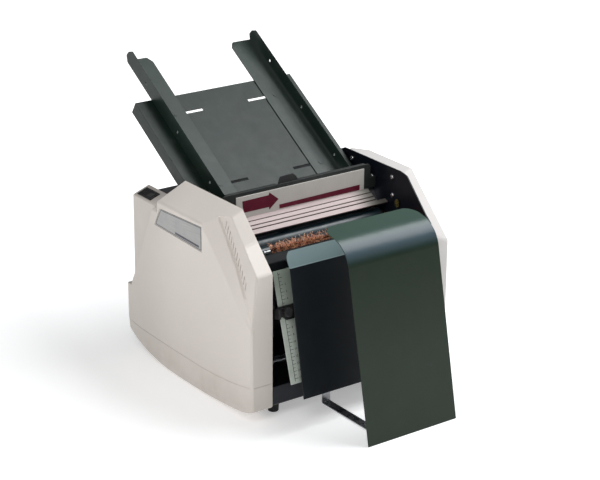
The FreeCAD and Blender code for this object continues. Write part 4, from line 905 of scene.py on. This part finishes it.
ARROW = [(-96.4, 261.2), (-51.9, 261.6), (-50.8, 265.4), (-35.1, 252.7), (-51.0, 239.9),
         (-51.3, 244.0), (-93.6, 244.0), (-95.6, 252.0)]
flat_art("label_arrow", ARROW, 156.5, 0.12, M["print_red"], "machine")
flat_art("label_stripe", [(-33.7, 243.9), (108.9, 245.2), (108.6, 237.1), (-33.3, 237.8)],
         156.5, 0.12, M["print_red"], "machine")

# ---------------------------------------------------------- nameplate border
plate = [(244.5, 240.0), (139.7, 245.0), (139.2, 210.0), (259.2, 213.5)]
cy = sum(p[0] for p in plate) / 4
cz = sum(p[1] for p in plate) / 4


def shrunk(d):
    out = []
    for i in range(4):
        p, a, b = (Vector(plate[i]), Vector(plate[i - 1]), Vector(plate[(i + 1) % 4]))
        u, w = (a - p).normalized(), (b - p).normalized()
        out.append(p + (u + w) * (d / abs(u.cross(w))))
    return out


bm = bmesh.new()
rings = []
for d, x in ((1.1, -175.80), (1.1, -175.98), (1.7, -175.98), (1.7, -175.80)):
    rings.append([bm.verts.new(D(x, p.x, p.y)) for p in shrunk(d)])
for u in range(4):
    for i in range(4):
        j = (i + 1) % 4
        bm.faces.new([rings[u][i], rings[u][j], rings[(u + 1) % 4][j], rings[(u + 1) % 4][i]])
bmesh.ops.recalc_face_normals(bm, faces=bm.faces)
piece("nameplate_border", bm, M["plate_dark"], "machine", smooth=False)
bm = bmesh.new()
bar = [(146.0, 213.4), (206.0, 214.9), (206.0, 217.6), (146.0, 216.4)]
rows = [[bm.verts.new(D(x, y, z)) for y, z in bar] for x in (-175.80, -175.95)]
bm.faces.new(rows[0])
bm.faces.new(rows[1][::-1])
for i in range(4):
    j = (i + 1) % 4
    bm.faces.new([rows[0][i], rows[1][i], rows[1][j], rows[0][j]])
bmesh.ops.recalc_face_normals(bm, faces=bm.faces)
piece("nameplate_bar", bm, M["plate_dark"], "machine", smooth=False)

# ------------------------------------------------- ruler on the front table
FANG = math.atan2(0.2833, 0.9590)


def on_table(x, depth, zl):
    """Point on the front table: depth in front of its face, zl along it."""
    y = 31.0 + zl * math.sin(FANG) - depth * math.cos(FANG)
    z = 206.0 + zl * math.cos(FANG) + depth * math.sin(FANG)
    return D(x, y, z)


def strip_box(bm, x0, x1, z0, z1, d0, d1):
    v = [bm.verts.new(on_table(x, d, z)) for d in (d0, d1) for x, z in
         ((x0, z0), (x1, z0), (x1, z1), (x0, z1))]
    made = [bm.faces.new([v[i] for i in q]) for q in
            ((0, 1, 2, 3), (4, 7, 6, 5), (0, 4, 5, 1), (1, 5, 6, 2), (2, 6, 7, 3), (3, 7, 4, 0))]
    return made


bm = bmesh.new()
for n in range(0, 30):
    zl = -5.2 - n * 4.96
    if -70.0 < zl < -46.0:
        continue
    long = 5.4 if n % 2 else 3.2
    strip_box(bm, -125.4, -125.4 + long, zl - 0.28, zl + 0.28, 0.0, 0.09)
strip_box(bm, -126.1, -125.4, -152.6, -2.4, 0.0, 0.09)
bmesh.ops.recalc_face_normals(bm, faces=bm.faces)
piece("ruler_ticks", bm, M["ticks"], "machine", smooth=False)

# plain numbers beside the long ticks
bm = bmesh.new()
for n in range(1, 30, 2):
    zl = -5.2 - n * 4.96
    if -70.0 < zl < -46.0 or n < 2:
        continue
    cu = bpy.data.curves.new("digit", "FONT")
    cu.body = str((n + 1) // 2)
    cu.size = 0.0042
    cu.extrude = 0.00005
    cu.resolution_u = 2
    cu.align_x = "CENTER"
    cu.align_y = "CENTER"
    ob = bpy.data.objects.new("digit", cu)
    scene.collection.objects.link(ob)
    bpy.context.view_layer.update()
    me = bpy.data.meshes.new_from_object(ob.evaluated_get(bpy.context.evaluated_depsgraph_get()))
    bpy.data.objects.remove(ob)
    start = len(bm.verts)
    bm.from_mesh(me)
    bm.verts.ensure_lookup_table()
    ax, az = on_table(1, 0, 0) - on_table(0, 0, 0), on_table(0, 0, 1) - on_table(0, 0, 0)
    ax.normalize()
    az.normalize()
    out = ax.cross(az)
    at = on_table(-116.6, 0.05, zl)
    for v in bm.verts[start:]:
        v.co = at + ax * v.co.x + az * v.co.y + out * v.co.z
    bpy.data.meshes.remove(me)
piece("ruler_numbers", bm, M["ticks"], "machine", smooth=False)

# ----------------------------------------------------- screws with a recess
SCREWS = [(215.4, 263.9), (166.9, 249.4), (120.5, 261.0), (118.3, 234.2)]
bm = bmesh.new()
for y, z in SCREWS:
    for s in (-1, 1):
        turn = rnd.uniform(0, 1.5)
        prof = [(139.45, 0.0), (139.45, 3.6), (138.5, 3.6), (137.9, 3.1), (137.5, 2.2), (137.3, 1.2)]
        rings = []
        for x, r in prof[1:]:
            rings.append([bm.verts.new(D(s * x, y + r * math.cos(q * math.pi / 12),
                                         z + r * math.sin(q * math.pi / 12))) for q in range(24)])
        made = [bm.faces.new(rings[0])]
        for a, b in zip(rings, rings[1:]):
            for q in range(24):
                made.append(bm.faces.new([a[q], a[(q + 1) % 24], b[(q + 1) % 24], b[q]]))
        # cross recess: a plus-shaped pit with a flat floor, inside the last ring
        arm, half = 1.0, 0.32
        plus = [(arm, half), (half, half), (half, arm), (-half, arm), (-half, half), (-arm, half),
                (-arm, -half), (-half, -half), (-half, -arm), (half, -arm), (half, -half),
                (arm, -half)]
        ct, st = math.cos(turn), math.sin(turn)
        tops, pits = [], []
        for u, w in plus:
            dy, dz = u * ct - w * st, u * st + w * ct
            tops.append(bm.verts.new(D(s * 137.3, y + dy, z + dz)))
            pits.append(bm.verts.new(D(s * 138.3, y + dy * 0.8, z + dz * 0.8)))
        for q in range(12):
            made.append(bm.faces.new([tops[q], tops[(q + 1) % 12], pits[(q + 1) % 12], pits[q]]))
        made.append(bm.faces.new(pits))
        rim = rings[-1]
        edges = [bm.edges.get((rim[q], rim[(q + 1) % 24])) for q in range(24)]
        edges += [bm.edges.get((tops[q], tops[(q + 1) % 12])) for q in range(12)]
        made += bmesh.ops.triangle_fill(bm, edges=edges, use_beauty=True)["geom"]
        made = [g for g in made if isinstance(g, bmesh.types.BMFace)]
        bmesh.ops.recalc_face_normals(bm, faces=made)
        shank = []
        for x in (139.3, 150.5):
            shank.append([bm.verts.new(D(s * x, y + 1.95 * math.cos(q * math.pi / 8),
                                         z + 1.95 * math.sin(q * math.pi / 8))) for q in range(16)])
        made = [bm.faces.new(shank[0]), bm.faces.new(shank[1])]
        for q in range(16):
            made.append(bm.faces.new([shank[0][q], shank[0][(q + 1) % 16],
                                      shank[1][(q + 1) % 16], shank[1][q]]))
        bmesh.ops.recalc_face_normals(bm, faces=made)
for e in bm.edges:
    if len(e.link_faces) == 2 and e.calc_face_angle(0.0) > math.radians(40):
        e.smooth = False
piece("frame_screw_set", bm, M["screw_steel"], "machine", ("frame_screws",))

# ------------------------------------------------- anti-static tinsel garland
def tube(bm, path, radii, sides=6):
    """A closed tapered tube along a path of points in the row frame."""
    rings = []
    n = len(path)
    for i, (p, r) in enumerate(zip(path, radii)):
        d = (path[min(n - 1, i + 1)] - path[max(0, i - 1)]).normalized()
        a = d.orthogonal().normalized()
        b = d.cross(a)
        if rings:
            a0 = (rings[-1][0].co - path[i - 1]).normalized()
            a = (a0 - d * a0.dot(d)).normalized()
            b = d.cross(a)
        rings.append([bm.verts.new(p + (a * math.cos(q * 2 * math.pi / sides)
                                        + b * math.sin(q * 2 * math.pi / sides)) * r)
                      for q in range(sides)])
    for u, w in zip(rings, rings[1:]):
        for q in range(sides):
            bm.faces.new([u[q], u[(q + 1) % sides], w[(q + 1) % sides], w[q]])
    bm.faces.new(rings[0][::-1])
    bm.faces.new(rings[-1])


BX0, BX1 = -90.0, 133.5
BY, BZ = 98.0, 204.5
clumps = [rnd.uniform(BX0, BX1) for _ in range(34)]
sets = {"tinsel": bmesh.new(), "tinsel_brown": bmesh.new(), "tinsel_dark": bmesh.new(),
        "tinsel_olive": bmesh.new()}
for n in range(2500):
    if rnd.random() < 0.45:
        x = rnd.gauss(rnd.choice(clumps), 3.2)
    else:
        x = rnd.uniform(BX0, BX1)
    x = min(max(x, BX0), BX1)
    ang = rnd.uniform(0, 2 * math.pi)
    length = rnd.uniform(4.0, 8.0)
    if rnd.random() < 0.22:
        # a few wisps stand up; none hangs down into the exit roller
        ang = rnd.uniform(0.12, 0.88) * math.pi
        length = rnd.uniform(8.0, 14.0)
    lean = rnd.gauss(0, 0.6)
    curl = rnd.gauss(0, 0.55)
    pts = []
    for t in (0.0, 0.35, 0.7, 1.0):
        r = 0.5 + length * t
        a = ang + curl * t * t
        pts.append(D(x + lean * length * t * (1 - 0.2 * t), BY + r * math.cos(a) * 0.92,
                     BZ + r * math.sin(a) * 0.95 - 0.4 * t * t))
    kind = rnd.random()
    key = "tinsel" if kind < 0.55 else ("tinsel_brown" if kind < 0.82 else "tinsel_dark")
    if x > 116 and rnd.random() < 0.6:
        key = "tinsel_dark"
    w = rnd.uniform(0.26, 0.50) * 0.001
    tube(sets[key], pts, [w, w, w * 0.8, w * 0.3], 3)
# twisted core wire, plain to the left of the crimp
for ph in (0.0, math.pi):
    path = [D(BX0 + (BX1 - BX0) * i / 240, BY + 0.55 * math.cos(ph + i * 0.9),
              BZ + 0.55 * math.sin(ph + i * 0.9)) for i in range(241)]
    tube(sets["tinsel_dark"], path, [0.0005] * 241, 6)
# loose end of the garland, tucked up against the right side frame
for n in range(150):
    ang = rnd.uniform(0, 2 * math.pi)
    length = rnd.uniform(3.0, 6.5)
    z0 = rnd.uniform(221.5, 230.0)
    pts = [D(139.3 - t * rnd.uniform(1.5, 4.5), 104.5 + 0.6 * math.cos(ang) + length * t * math.cos(ang) * 0.6,
             z0 + length * t * math.sin(ang) * 0.5) for t in (0.0, 0.35, 0.7, 1.0)]
    w = rnd.uniform(0.24, 0.42) * 0.001
    tube(sets["tinsel_dark" if rnd.random() < 0.35 else "tinsel_olive"], pts, [w, w, w * 0.8, w * 0.3], 3)
first = True
for key, bm in sets.items():
    piece("brush_" + key, bm, M[key], "machine", ("static_brush",) if first else ())
    first = False
bm = bmesh.new()
for x0, x1 in ((-139.5, BX0), (BX1, 139.5)):
    tube(bm, [D(x0 + (x1 - x0) * i / 4, BY, BZ) for i in range(5)], [0.0008] * 5, 10)
xs = [-102.0, -101.4, -98.5, -98.0, -96.6, -96.0, -93.2, -92.6, -90.8, -90.2]
rs = [1.6, 2.3, 2.3, 1.7, 1.7, 2.3, 2.3, 1.9, 2.6, 2.0]
tube(bm, [D(x, BY, BZ) for x in xs], [r * 0.001 for r in rs], 14)
for x in (132.0, 135.2):
    tube(bm, [D(x, BY, BZ), D(x + 0.5, BY, BZ), D(x + 2.2, BY, BZ), D(x + 2.7, BY, BZ)],
         [0.0016, 0.0022, 0.0022, 0.0016], 12)
ob = piece("brush_wire", bm, M["grip"], "machine")
n = ob.modifiers.new("Normals", "WEIGHTED_NORMAL")
n.weight = 60
